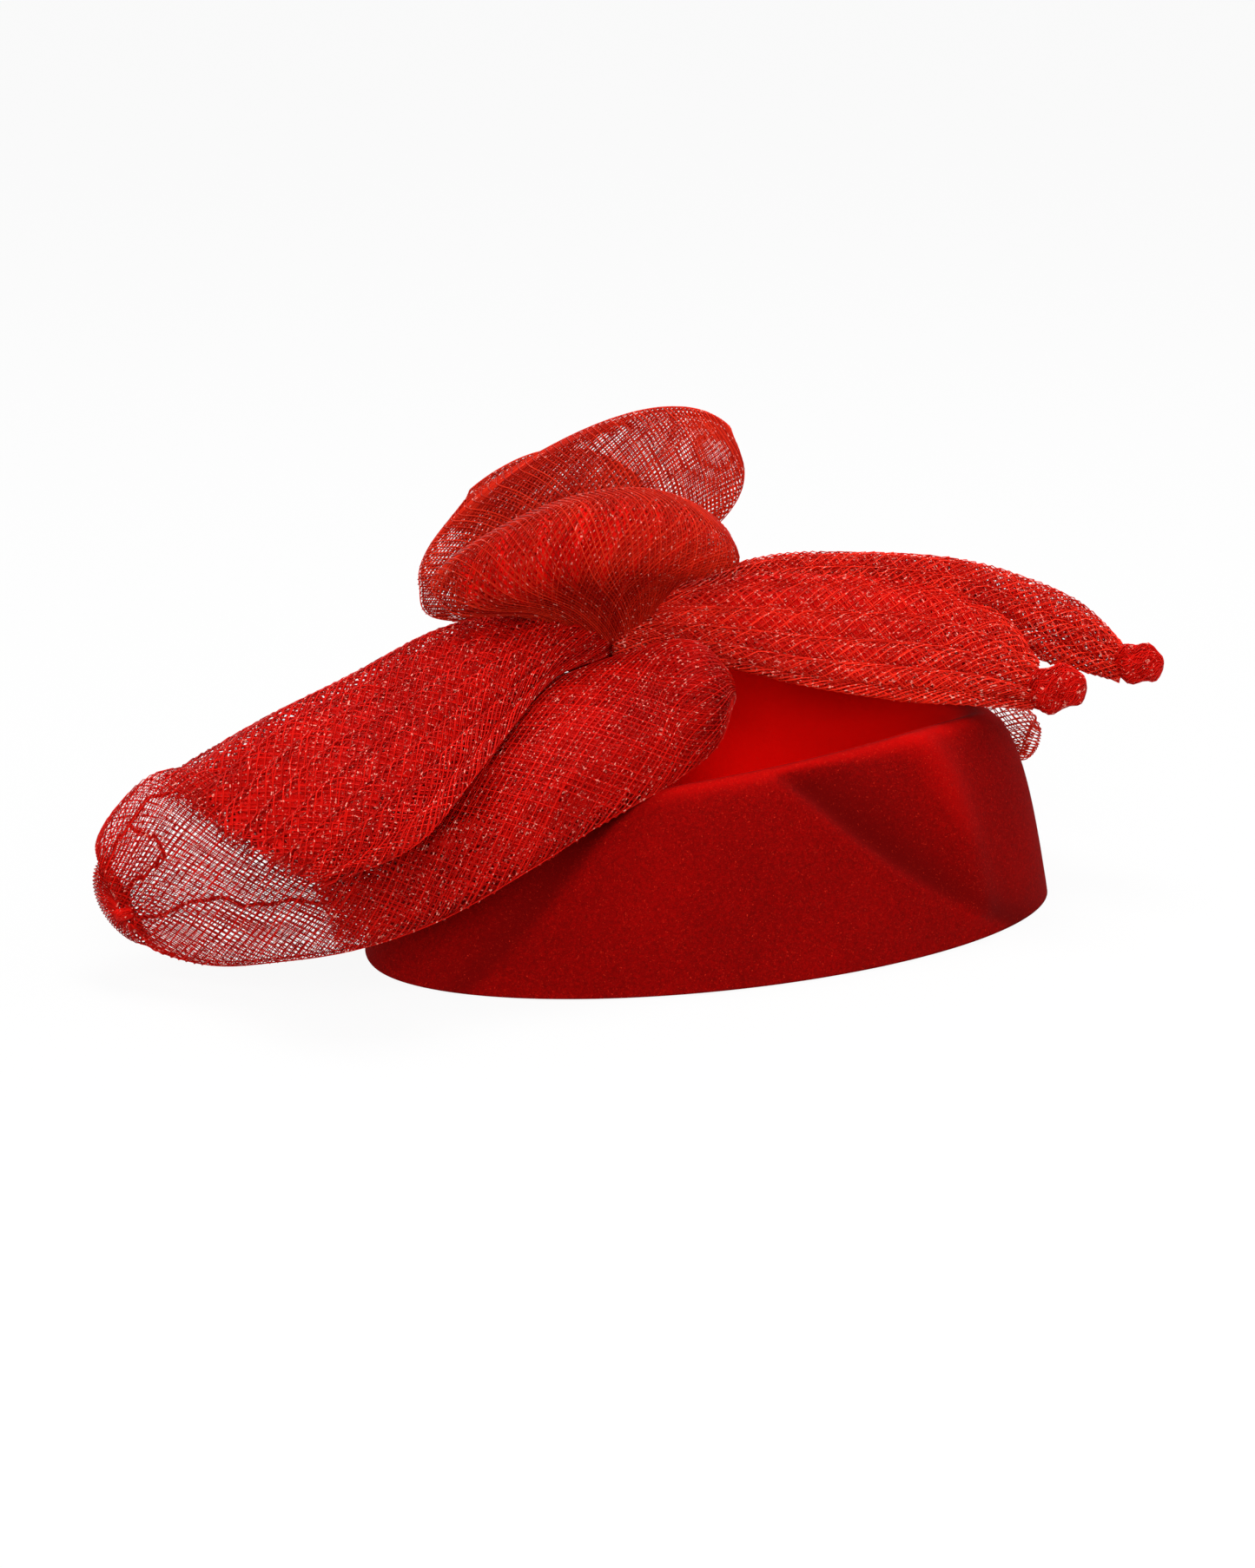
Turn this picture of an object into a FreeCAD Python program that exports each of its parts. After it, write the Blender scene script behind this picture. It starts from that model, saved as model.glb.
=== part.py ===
"""Red felt percher hat with a crin bow, a fascinator headpiece. Units are millimetres.

X runs along the hat's long oval, -Y is its front, Z is up. The origin is the middle of the
oval on the plane that the felt's lower edge rests on.
"""
import FreeCAD, Part
import os
from math import acos, cos, sin, pi, floor, radians

os.makedirs("parts", exist_ok=True)
V = FreeCAD.Vector

# felt: half sizes of the lower edge, of the top ridge and of the sunk crown
HALF_LENGTH = 100.0
FRONT_HALF = 54.0
REAR_HALF = 66.0
RIDGE_HALF_LENGTH = 80.0
RIDGE_FRONT_HALF = 37.0
RIDGE_REAR_HALF = 42.0
CROWN_HALF_LENGTH = 56.0
CROWN_FRONT_HALF = 24.0
CROWN_REAR_HALF = 27.0
CROWN_SHIFT = -6.0
CROWN_HEIGHT = 30.0
FELT = 3.0
# ridge heights from the right end, around by the rear, the left end and the front
RIDGE_HEIGHTS = (53.0, 59.0, 65.0, 61.0, 48.0, 48.5, 53.5, 57.0)

# how the wall leans in: share of the way to the ridge outline, share of the ridge height
WALL = ((0.0, 0.0), (0.10, 0.22), (0.28, 0.50), (0.52, 0.76), (0.76, 0.93), (1.0, 1.0))
# how the crown sinks: share of the way to the crown outline, share of the ridge height over the crown
SINK = ((0.22, 0.97), (0.50, 0.80), (0.78, 0.40), (1.0, 0.0))

# inside the rim
CLEAR = 0.3
WIRE_RADIUS = 0.6
WIRE_LIFT = 1.2
RIBBON = 0.8
RIBBON_WIDTH = 15.0

# seat of the bow on the rear ridge
SEAT_ANGLE = 104.0
BIND_DIRECTION = 67.0
BIND_LENGTH = 34.0
BIND_RADIUS = 5.5
PAD = 3.0
PAD_HALF_LENGTH = 16.0
PAD_HALF_WIDTH = 10.0
STITCH_RADIUS = 0.35
STITCH_COUNT = 3
STITCH_PITCH = 9.0

# knots that close the crin ends
KNOT_CLEAR = 0.8
NEAR_KNOT_HALF_LENGTH = 7.1
NEAR_KNOT_RADIUS = 6.6
NEAR_KNOT_WAY = V(0.75, -0.63, 0.20)
FAR_KNOT_HALF_LENGTH = 5.6
FAR_KNOT_RADIUS = 6.0
FAR_KNOT_WAY = V(0.76, -0.65, -0.04)
TIP_TIE_RADIUS = 1.6
TIP_TIE_HALF_LENGTH = 2.4

# wire comb inside the front rim
COMB_LENGTH = 62.0
COMB_BAR_WIDTH = 4.0
COMB_BAR = 1.6
COMB_HEIGHT = 6.0
TOOTH_COUNT = 12
TOOTH_PITCH = 5.2
TOOTH_RADIUS = 0.6
TOOTH_LENGTH = 32.0
TOOTH_RISE = 5.0

# hinged hair clip inside the rear rim
CLIP_LENGTH = 46.0
CLIP_HEIGHT = 8.0
CLIP_PLATE = 0.8
CLIP_LIFT = 4.0
CLIP_PIVOT_X = 8.0
PIN_RADIUS = 0.8
PIN_PLAY = 0.05
PIN_STAND = 2.8
EAR_HALF = 2.4
EAR_MARGIN = 1.6
JAW_EAR = 1.4
JAW_FLAT = 8.0
LEVER_SPREAD = 3.4
SPRING_RADIUS = 1.7
SPRING_WIRE = 0.5
SPRING_LEG = 9.0
CLIP_STITCH_FROM_TIP = 11.0
CLIP_STITCH_FROM_LEVER = 4.0

AROUND = 32
WIRE_SIDES = 8
LEAF_AROUND = 16


def cyclic(values, turn):
    """Smooth closed curve through equally spaced values, turn in 0..1."""
    n = len(values)
    s = turn * n
    i = floor(s)
    f = s - i
    a, b, c, d = (values[(i + k) % n] for k in (-1, 0, 1, 2))
    return b + 0.5 * f * (c - a + f * (2 * a - 5 * b + 4 * c - d + f * (3 * (b - c) + d - a)))


def oval(turn, half_length, front, rear, shift=0.0):
    """Point on an oval that is deeper at the rear than at the front."""
    t = 2 * pi * turn
    side = rear if sin(t) > 0 else front
    return shift + half_length * cos(t), side * sin(t)


def between(p, q, share):
    return tuple(a + (b - a) * share for a, b in zip(p, q))


def ridge_height(turn):
    return cyclic(RIDGE_HEIGHTS, turn)


def profile(turn):
    """The felt's outer line at one turn, from the lower edge over the ridge to the crown."""
    edge = oval(turn, HALF_LENGTH, FRONT_HALF, REAR_HALF)
    ridge = oval(turn, RIDGE_HALF_LENGTH, RIDGE_FRONT_HALF, RIDGE_REAR_HALF)
    crown = oval(turn, CROWN_HALF_LENGTH, CROWN_FRONT_HALF, CROWN_REAR_HALF, CROWN_SHIFT)
    height = ridge_height(turn)
    line = [between(edge, ridge, share) + (height * rise,) for share, rise in WALL]
    for share, rise in SINK:
        line.append(between(ridge, crown, share) + (CROWN_HEIGHT + (height - CROWN_HEIGHT) * rise,))
    return [V(*p) for p in line]


def inner_profile(turn):
    """The same line moved in by the felt's thickness, square to the profile."""
    line = profile(turn)
    outward = V(cos(2 * pi * turn), sin(2 * pi * turn), 0)
    moved = []
    for i, p in enumerate(line):
        step = line[min(i + 1, len(line) - 1)] - line[max(i - 1, 0)]
        along = V(step.dot(outward), 0, step.z)
        along.normalize()
        moved.append(p + outward * (-along.z * FELT) + V(0, 0, along.x * FELT))
    moved[0] = V(line[0].x, line[0].y, 0) - outward * FELT
    moved[-1] = V(moved[-1].x, moved[-1].y, CROWN_HEIGHT - FELT)
    return moved


def wall_point(turn, z, inset):
    """Point at one height inside the wall, inset from the felt's outer face."""
    edge = oval(turn, HALF_LENGTH - inset, FRONT_HALF - inset, REAR_HALF - inset)
    ridge = oval(turn, RIDGE_HALF_LENGTH - inset, RIDGE_FRONT_HALF - inset, RIDGE_REAR_HALF - inset)
    rise = z / ridge_height(turn)
    for low, high in zip(WALL, WALL[1:]):
        if rise <= high[1]:
            share = low[0] + (high[0] - low[0]) * (rise - low[1]) / (high[1] - low[1])
            break
    return V(*between(edge, ridge, share), z)


def skin_point(turn, z, inset):
    """Point of the smooth skin whose control points are wall_point's rings."""
    before, here, after = (wall_point(turn + k / AROUND, z, inset) for k in (-1, 0, 1))
    return (before + here * 4 + after) * (1 / 6)


def turn_at(x, z, side):
    """Turn where the ribbon's skin is x to the right of the middle, at the front (-1) or rear (1)."""
    widest = skin_point(0.0, z, FELT + CLEAR + RIBBON).x
    return side * acos(x / widest) / (2 * pi)


def body_of(rows, looped=False):
    """Closed smooth solid over rings of control points.

    The rings close on themselves. The rows either loop too, as in a hoop, or start and end in a
    ring whose points are all the same.
    """
    count = len(rows)
    around = len(rows[0])
    if looped:
        row_steps = [1] * (count + 1)
    else:
        row_steps = [4] + [1] * (count - 4) + [4]
    surface = Part.BSplineSurface()
    surface.buildFromPolesMultsKnots(rows, row_steps, [1] * (around + 1), list(range(len(row_steps))),
                                     list(range(around + 1)), looped, True, 3, 3)
    solid = Part.Solid(Part.Shell([surface.toShape()]))
    if solid.Volume < 0:
        solid.reverse()
    return solid


def rings(make_profile):
    columns = [make_profile(k / AROUND) for k in range(AROUND)]
    return [list(row) for row in zip(*columns)]


def felt_shell():
    """One skin over the outside, under the edge and back up the inside, cut flat at the edge."""
    outside = rings(profile)
    inside = rings(inner_profile)
    below = [[p - V(0, 0, FELT) for p in row] for row in (outside[0], inside[0])]
    crown = [[sum(row, V()) * (1 / AROUND)] * AROUND for row in (outside[-1], inside[-1])]
    felt = body_of(crown[:1] + outside[::-1] + below + inside + crown[1:])
    size = 3 * HALF_LENGTH
    return felt.cut(Part.makeBox(size, size, size, V(-size / 2, -size / 2, -size)))


def wall_ring(z, inset):
    return [wall_point(k / AROUND, z, inset) for k in range(AROUND)]


def rim_wire():
    """Millinery wire sewn inside the felt's lower edge."""
    middle = WIRE_LIFT + WIRE_RADIUS
    rows = []
    for k in range(WIRE_SIDES):
        a = 2 * pi * k / WIRE_SIDES
        rows.append(wall_ring(middle + WIRE_RADIUS * sin(a),
                              FELT + CLEAR + WIRE_RADIUS * (1 + cos(a))))
    return body_of(rows, True)


RIBBON_LOW = WIRE_LIFT + 2 * WIRE_RADIUS + CLEAR


def head_ribbon():
    """Petersham band inside the rim, above the wire."""
    low, high = RIBBON_LOW, RIBBON_LOW + RIBBON_WIDTH
    outer, inner = FELT + CLEAR, FELT + CLEAR + RIBBON
    corners = ((low, outer), (high, outer), (high, inner), (low, inner))
    rows = []
    for (z, inset), (next_z, next_inset) in zip(corners, corners[1:] + corners[:1]):
        rows.append(wall_ring(z, inset))
        rows.append(wall_ring(z, inset))
        rows.append(wall_ring((z + next_z) / 2, (inset + next_inset) / 2))
    return body_of(rows, True)


# the bow's seat: a point on the ridge, and the direction of the binding across it
SEAT_TURN = SEAT_ANGLE / 360.0
SEAT = V(*oval(SEAT_TURN, RIDGE_HALF_LENGTH, RIDGE_FRONT_HALF, RIDGE_REAR_HALF),
         ridge_height(SEAT_TURN))
ACROSS = V(cos(radians(BIND_DIRECTION)), sin(radians(BIND_DIRECTION)), 0)
PAD_LOW = SEAT.z + CLEAR
STITCH_SIZE = BIND_RADIUS + CLEAR + STITCH_RADIUS
BIND_CENTRE = V(SEAT.x, SEAT.y, PAD_LOW + PAD + CLEAR + STITCH_RADIUS + STITCH_SIZE)


def trim_pad():
    """Oval felt pad that the binding is sewn down to."""
    pad = Part.makeCylinder(1.0, PAD)
    stretch = FreeCAD.Matrix()
    stretch.scale(PAD_HALF_LENGTH, PAD_HALF_WIDTH, 1.0)
    pad = pad.transformGeometry(stretch)
    pad.rotate(V(), V(0, 0, 1), BIND_DIRECTION)
    pad.translate(V(SEAT.x, SEAT.y, PAD_LOW))
    return pad


def capsule(start, end, radius):
    way = end - start
    body = Part.makeCylinder(radius, way.Length, start, way)
    body = body.fuse(Part.makeSphere(radius, start))
    return body.fuse(Part.makeSphere(radius, end)).removeSplitter()


def centre_binding():
    half = ACROSS * (BIND_LENGTH / 2)
    return capsule(BIND_CENTRE - half, BIND_CENTRE + half, BIND_RADIUS)


def trim_stitches():
    """Thread loops over the binding, standing on the pad."""
    loops = []
    for k in range(STITCH_COUNT):
        middle = BIND_CENTRE + ACROSS * ((k - (STITCH_COUNT - 1) / 2) * STITCH_PITCH)
        loops.append(Part.makeTorus(STITCH_SIZE, STITCH_RADIUS, middle, ACROSS, 0, 360))
    return Part.Compound(loops)


# Crin pieces. A station is (front edge, middle, rear edge, half thickness), with points from the
# bow's seat; a piece is a flat puffed tube through its stations.
FRONT_TOP_LOOP = (
    ((-7, -9, 17.6), (-5, -11, 16.6), (-2, -11, 17.6), 1.5),
    ((-27, -12, 19), (-10, -26, 26), (16, -22, 26), 3.5),
    ((-44, -9, 20), (-14, -35, 38), (26, -26, 29), 4.0),
    ((-49, -3, 27), (-10, -35, 49), (34, -21, 30), 4.0),
    ((-42, 3, 32), (-5, -26, 54), (36, -13, 35), 2.5))
REAR_TOP_LOOP = (
    ((-3, 3, 16), (0, 1, 17), (4, 1, 17), 1.5),
    ((-27, 18, 21), (0, 0, 32), (28, -1, 30), 4.0),
    ((-38, 25, 25), (4, 3, 48), (42, 2, 39), 4.0),
    ((-39, 28, 29), (10, 9, 59), (49, 8, 48), 4.0),
    ((-31, 31, 38), (18, 14, 66), (51, 13, 57), 2.5))
MIDDLE_TOP_LOOP = (
    ((1, 13, 16.2), (4, 12, 16.2), (8, 12, 16.2), 1.5),
    ((-19, 30, 18), (-3, 19, 28), (17, 15, 27), 4.0),
    ((-25, 39, 33), (1, 26, 44), (23, 23, 35), 4.0),
    ((-21, 42, 42), (3, 32, 54), (26, 28, 44), 2.5))
LONG_LOOP = (
    ((16, -52, -2), (18, -50, 2), (18, -46, 8), 2.0),
    ((8, -62, -9), (5, -61, 7), (10, -41, 14), 5.0),
    ((-8, -72, -14), (-8, -60, 2), (-2, -34, 11), 6.0),
    ((-31, -80, -20), (-28, -63, -2), (-21, -28, 4), 6.0),
    ((-51, -82, -29), (-50, -63, -10), (-43, -25, -5), 6.0),
    ((-73, -77, -41), (-74, -60, -20), (-68, -23, -14), 6.0),
    ((-92, -65, -50), (-96, -56, -29), (-94, -23, -22), 7.0),
    ((-108, -50, -56), (-114, -45, -36), (-112, -18, -26), 7.0),
    ((-122, -35, -60), (-130, -32, -39), (-127, -15, -26), 7.0),
    ((-134, -23, -58), (-139, -21, -43), (-137, -5, -33), 6.0),
    ((-140, -14, -54), (-143, -11, -44), (-142, -4, -38), 3.0))
LEFT_TAIL = (
    ((-11.8, -13.5, 9), (-11.8, -9.5, 10), (-10.8, -4.5, 12), 2.0),
    ((-27, -38, 8), (-24, -25, 10), (-22, -4, 12), 3.0),
    ((-46, -58, 3), (-46, -34, 8), (-46, 2, 10), 4.0),
    ((-66, -80, -4), (-69, -45, 1), (-71, 7, 1), 4.0),
    ((-85, -90, -16), (-92, -51, -8), (-96, 8, -9), 4.0),
    ((-98, -88, -28), (-108, -51, -21), (-118, 7, -21), 3.0))
NEAR_TAIL = (
    ((1.6, -13.4, 8), (2.6, -11.4, 10), (5.6, -8.4, 12), 2.0),
    ((19, -34, 6), (24, -26, 12), (34, -14, 19), 5.0),
    ((41, -48, 1), (49, -38, 9), (60, -21, 18), 6.0),
    ((64, -59, -3), (73, -50, 7), (88, -33, 16), 6.0),
    ((81, -67, -4), (89, -60, 4), (103, -48, 9), 6.0),
    ((97, -70, -5), (98, -68, -2), (100, -65, 1), 3.5))
FAR_TAIL = (
    ((7.8, 2, 8), (8.8, 4, 10), (10.8, 7, 12), 2.0),
    ((37, 0, 12), (42, 4, 16), (49, 10, 21), 4.0),
    ((65, -8, 11), (71, -6, 19), (81, 5, 21), 4.0),
    ((94, -27, 8), (99, -23, 17), (110, -12, 20), 4.0),
    ((116, -43, -1), (121, -39, 8), (133, -30, 12), 4.0),
    ((132, -57, -3), (134, -55, 0), (136, -53, 3), 3.5))
RIGHT_LOOP = (
    ((11.1, 13.3, 7), (12.1, 13.3, 9), (14.1, 14.3, 11), 1.5),
    ((33, 10, -6), (38, 10, 1), (40, 7, 10), 4.0),
    ((68, 9, -22), (72, 8, -12), (72, 1, 2), 5.0),
    ((96, 2, -34), (99, 0, -22), (97, -8, -6), 5.0),
    ((114, -9, -40), (116, -9, -30), (115, -15, -17), 5.0),
    ((123, -19, -38), (126, -20, -31), (127, -22, -23), 4.0),
    ((127, -21, -36), (129, -21, -32), (130, -22, -28), 2.0))
TIP_TIE_PLACE = V(-143.3, -29.3, -45)


def flow(rows, s):
    """Smooth curve through rows of numbers at row position s."""
    i = min(int(s), len(rows) - 2)
    f = s - i
    b, c = rows[i], rows[i + 1]
    a = rows[i - 1] if i else [2 * p - q for p, q in zip(b, c)]
    d = rows[i + 2] if i + 2 < len(rows) else [2 * q - p for p, q in zip(b, c)]
    return [q + 0.5 * f * (r - p + f * (2 * p - 5 * q + 4 * r - t + f * (3 * (q - r) + t - p)))
            for p, q, r, t in zip(a, b, c, d)]


def station_ring(row, path, size=1.0):
    """Lens-shaped ring around a station's arc, at a share of its full size.

    The arc goes from the front edge through the middle to the rear edge, and the ring's thickness
    is square to the arc and to the piece's path.
    """
    front, middle, rear = V(*row[0:3]), V(*row[3:6]), V(*row[6:9])
    ring = []
    for k in range(LEAF_AROUND):
        a = 2 * pi * k / LEAF_AROUND
        q = size * cos(a)
        point = front * (q * (q - 1) / 2) + middle * (1 - q * q) + rear * (q * (q + 1) / 2)
        slope = front * (q - 0.5) - middle * (2 * q) + rear * (q + 0.5)
        normal = slope.cross(path)
        normal.normalize()
        ring.append(point + normal * (size * row[9] * sin(a)) + SEAT)
    return ring


def leaf(stations):
    """Closed puffed tube through its stations, with rows of control points between them too.

    Both ends shrink to a point within the end station's own arc.
    """
    rows = [list(f) + list(m) + list(r) + [t] for f, m, r, t in stations]
    last = len(rows) - 1
    places = [(k / 2, 1.0) for k in range(2 * last + 1)]
    places = [(0, 0.0), (0, 0.5)] + places + [(last, 0.5), (last, 0.0)]
    poles = []
    for s, size in places:
        path = V(*flow(rows, min(s + 0.3, last))[3:6]) - V(*flow(rows, max(s - 0.3, 0))[3:6])
        poles.append(station_ring(flow(rows, s), path, size))
    return body_of(poles)


def knot(middle, way, half_length, radius):
    """Egg-shaped knot, longer along its way."""
    ball = Part.makeSphere(1.0)
    stretch = FreeCAD.Matrix()
    stretch.scale(radius, radius, half_length)
    ball = ball.transformGeometry(stretch)
    turn = FreeCAD.Rotation(V(0, 0, 1), way)
    ball.Placement = FreeCAD.Placement(middle, turn)
    return ball


def end_knot(stations, way, half_length, radius):
    """Knot that carries on along its way from the middle of a crin piece's last station."""
    end = sum((V(*p) for p in stations[-1][:3]), V()) * (1 / 3)
    way.normalize()
    return knot(SEAT + end + way * (half_length + KNOT_CLEAR), way, half_length, radius)


RIBBON_INSET = FELT + CLEAR + RIBBON
COMB_FACE = skin_point(turn_at(COMB_LENGTH / 2, COMB_HEIGHT, -1), COMB_HEIGHT, RIBBON_INSET).y + CLEAR


def comb_bar():
    return Part.makeBox(COMB_LENGTH, COMB_BAR_WIDTH, COMB_BAR,
                        V(-COMB_LENGTH / 2, COMB_FACE, COMB_HEIGHT - COMB_BAR / 2))


def comb_teeth():
    """Round-tipped wire teeth that rise slightly towards the back of the head."""
    teeth = []
    for k in range(TOOTH_COUNT):
        x = (k - (TOOTH_COUNT - 1) / 2) * TOOTH_PITCH
        start = V(x, COMB_FACE + COMB_BAR_WIDTH, COMB_HEIGHT)
        bend = start + V(0, TOOTH_LENGTH / 3, 0)
        tip = start + V(0, TOOTH_LENGTH, TOOTH_RISE)
        tooth = Part.makeCylinder(TOOTH_RADIUS, TOOTH_LENGTH / 3, start, V(0, 1, 0))
        tooth = tooth.fuse(capsule(bend, tip, TOOTH_RADIUS)).removeSplitter()
        teeth.append(tooth)
    return Part.Compound(teeth)


def comb_stitches():
    """Thread loops around the comb's bar, one near each end and one in the middle."""
    loops = []
    width = COMB_BAR_WIDTH + 2 * CLEAR
    height = COMB_BAR + 2 * CLEAR
    thread = 2 * STITCH_RADIUS
    for share in (-1, 0, 1):
        x = share * TOOTH_PITCH * (TOOTH_COUNT - 2) / 2
        low = V(x - STITCH_RADIUS, COMB_FACE - CLEAR + 0.05, COMB_HEIGHT - height / 2 - thread)
        outside = Part.makeBox(thread, width + thread, height + 2 * thread, low)
        inside = Part.makeBox(thread, width, height, low + V(0, 0, thread))
        loops.append(outside.cut(inside))
    return Part.Compound(loops)


# the clip lies along X against the ribbon, and its pin stands along Z
CLIP_TOP = CLIP_LIFT + CLIP_HEIGHT
CLIP_BACK = skin_point(turn_at(CLIP_LENGTH / 2, CLIP_TOP, 1), CLIP_TOP, RIBBON_INSET).y - CLEAR
CLIP_FACE = CLIP_BACK - CLIP_PLATE
PIN_Y = CLIP_FACE - PIN_STAND
EAR_REACH = PIN_STAND + EAR_MARGIN
JAW_HEIGHT = CLIP_HEIGHT - 2 * CLIP_PLATE - 2 * CLEAR
JAW_LIFT = CLIP_LIFT + CLIP_PLATE + CLEAR


def ear(x, z, face, reach, hole):
    """Plate around the pin, from a jaw's face outwards along -Y."""
    plate = Part.makeBox(2 * EAR_HALF, reach, CLIP_PLATE, V(x - EAR_HALF, face - reach, z))
    return plate.cut(Part.makeCylinder(hole, 3 * CLIP_PLATE, V(x, PIN_Y, z - CLIP_PLATE)))


def clip_base():
    plate = Part.makeBox(CLIP_LENGTH, CLIP_PLATE, CLIP_HEIGHT,
                         V(-CLIP_LENGTH / 2, CLIP_FACE, CLIP_LIFT))
    for z in (CLIP_LIFT, CLIP_LIFT + CLIP_HEIGHT - CLIP_PLATE):
        plate = plate.fuse(ear(CLIP_PIVOT_X, z, CLIP_FACE, EAR_REACH, PIN_RADIUS))
    return plate.removeSplitter()


def clip_jaw():
    """Bent jaw: tip against the base, over the pin, then up to the thumb lever."""
    tip = V(-CLIP_LENGTH / 2 + CLIP_PLATE, CLIP_FACE - CLEAR, JAW_LIFT)
    over = V(CLIP_PIVOT_X, PIN_Y - SPRING_RADIUS - CLEAR, JAW_LIFT)
    lever = V(CLIP_LENGTH / 2, over.y - LEVER_SPREAD, JAW_LIFT)
    knee = V(tip.x + JAW_FLAT, tip.y, JAW_LIFT)
    drop = V(0, -CLIP_PLATE, 0)
    outline = [tip, knee, over, lever, lever + drop, over + drop, knee + drop, tip + drop]
    jaw = Part.Face(Part.makePolygon(outline + outline[:1])).extrude(V(0, 0, JAW_HEIGHT))
    reach = over.y - PIN_Y
    for z in (JAW_LIFT, JAW_LIFT + JAW_HEIGHT - CLIP_PLATE):
        side = Part.makeBox(2 * EAR_HALF, JAW_EAR - reach, CLIP_PLATE,
                            V(CLIP_PIVOT_X - EAR_HALF, over.y - CLEAR, z))
        hole = Part.makeCylinder(PIN_RADIUS + PIN_PLAY, 3 * CLIP_PLATE,
                                 V(CLIP_PIVOT_X, PIN_Y, z - CLIP_PLATE))
        jaw = jaw.fuse(side.cut(hole))
    return jaw.removeSplitter()


def clip_pin():
    return Part.makeCylinder(PIN_RADIUS, CLIP_HEIGHT, V(CLIP_PIVOT_X, PIN_Y, CLIP_LIFT))


def clip_spring():
    """Coil around the pin between the jaw's ears, with a leg along each lever."""
    low = JAW_LIFT + CLIP_PLATE + CLEAR / 2
    height = JAW_HEIGHT - 2 * CLIP_PLATE - CLEAR
    middle = V(CLIP_PIVOT_X, PIN_Y, low)
    coil = Part.makeCylinder(SPRING_RADIUS, height, middle)
    coil = coil.cut(Part.makeCylinder(PIN_RADIUS + PIN_PLAY, height, middle))
    leg = Part.makeBox(SPRING_LEG, SPRING_WIRE, SPRING_WIRE,
                       middle + V(0, SPRING_RADIUS - SPRING_WIRE, 0))
    return coil.fuse(leg).removeSplitter()


def clip_stitches():
    """Thread loops around the base plate at both ends."""
    loops = []
    thread = 2 * STITCH_RADIUS
    height = CLIP_HEIGHT + 2 * CLEAR
    for x in (CLIP_STITCH_FROM_TIP - CLIP_LENGTH / 2, CLIP_LENGTH / 2 - CLIP_STITCH_FROM_LEVER):
        low = V(x, CLIP_FACE - 0.1, CLIP_LIFT - CLEAR - thread)
        top = low + V(0, 0, height + thread)
        for corner in (low, top):
            loops.append(Part.makeBox(thread, CLIP_PLATE + 0.2, thread, corner))
    return Part.Compound(loops)


PIECES = {
    "felt_shell": felt_shell(),
    "rim_wire": rim_wire(),
    "head_ribbon": head_ribbon(),
    "trim_pad": trim_pad(),
    "centre_binding": centre_binding(),
    "trim_stitches": trim_stitches(),
    "front_top_loop": leaf(FRONT_TOP_LOOP),
    "rear_top_loop": leaf(REAR_TOP_LOOP),
    "middle_top_loop": leaf(MIDDLE_TOP_LOOP),
    "long_loop": leaf(LONG_LOOP),
    "left_tail": leaf(LEFT_TAIL),
    "near_tail": leaf(NEAR_TAIL),
    "far_tail": leaf(FAR_TAIL),
    "right_loop": leaf(RIGHT_LOOP),
    "near_tail_knot": end_knot(NEAR_TAIL, NEAR_KNOT_WAY, NEAR_KNOT_HALF_LENGTH, NEAR_KNOT_RADIUS),
    "far_tail_knot": end_knot(FAR_TAIL, FAR_KNOT_WAY, FAR_KNOT_HALF_LENGTH, FAR_KNOT_RADIUS),
    "loop_tip_tie": knot(SEAT + TIP_TIE_PLACE, V(1, 0, 0), TIP_TIE_HALF_LENGTH, TIP_TIE_RADIUS),
    "comb_bar": comb_bar(),
    "comb_teeth": comb_teeth(),
    "comb_stitches": comb_stitches(),
    "clip_base": clip_base(),
    "clip_jaw": clip_jaw(),
    "clip_pin": clip_pin(),
    "clip_spring": clip_spring(),
    "clip_stitches": clip_stitches(),
}

for name, shape in PIECES.items():
    box = shape.BoundBox
    print("%-16s solids %2d valid %s volume %9.1f  x %6.1f %6.1f  y %6.1f %6.1f  z %6.1f %6.1f" % (
        name, len(shape.Solids), shape.isValid(), shape.Volume,
        box.XMin, box.XMax, box.YMin, box.YMax, box.ZMin, box.ZMax))
    shape.exportStep("parts/%s.step" % name)
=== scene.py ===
"""Dresses the percher hat: blocked felt base, crin bow of real thread nets, ribbon, comb and clip.

Everything is in metres in the hat's own frame. Station tables are in millimetres from the bow's
seat, as in the part's source. A surface is an array of points [along, around, xyz], and every
net is laid on such a surface.
"""
import bpy
import numpy as np
from mathutils import Matrix, Vector


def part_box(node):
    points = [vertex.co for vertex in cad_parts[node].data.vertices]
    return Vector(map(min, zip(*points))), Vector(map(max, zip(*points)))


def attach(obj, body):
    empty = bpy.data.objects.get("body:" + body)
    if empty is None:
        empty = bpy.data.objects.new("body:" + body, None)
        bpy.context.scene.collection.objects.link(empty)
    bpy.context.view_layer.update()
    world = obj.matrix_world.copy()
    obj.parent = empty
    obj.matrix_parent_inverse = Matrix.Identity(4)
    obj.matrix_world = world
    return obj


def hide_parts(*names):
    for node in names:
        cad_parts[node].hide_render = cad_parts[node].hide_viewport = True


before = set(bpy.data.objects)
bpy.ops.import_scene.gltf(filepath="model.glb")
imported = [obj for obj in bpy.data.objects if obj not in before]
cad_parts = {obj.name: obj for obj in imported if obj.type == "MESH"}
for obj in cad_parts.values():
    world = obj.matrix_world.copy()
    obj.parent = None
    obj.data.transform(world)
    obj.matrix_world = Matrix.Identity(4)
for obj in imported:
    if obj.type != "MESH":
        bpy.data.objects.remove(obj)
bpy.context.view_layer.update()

MM = 0.001
TURN = 2 * np.pi

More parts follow.
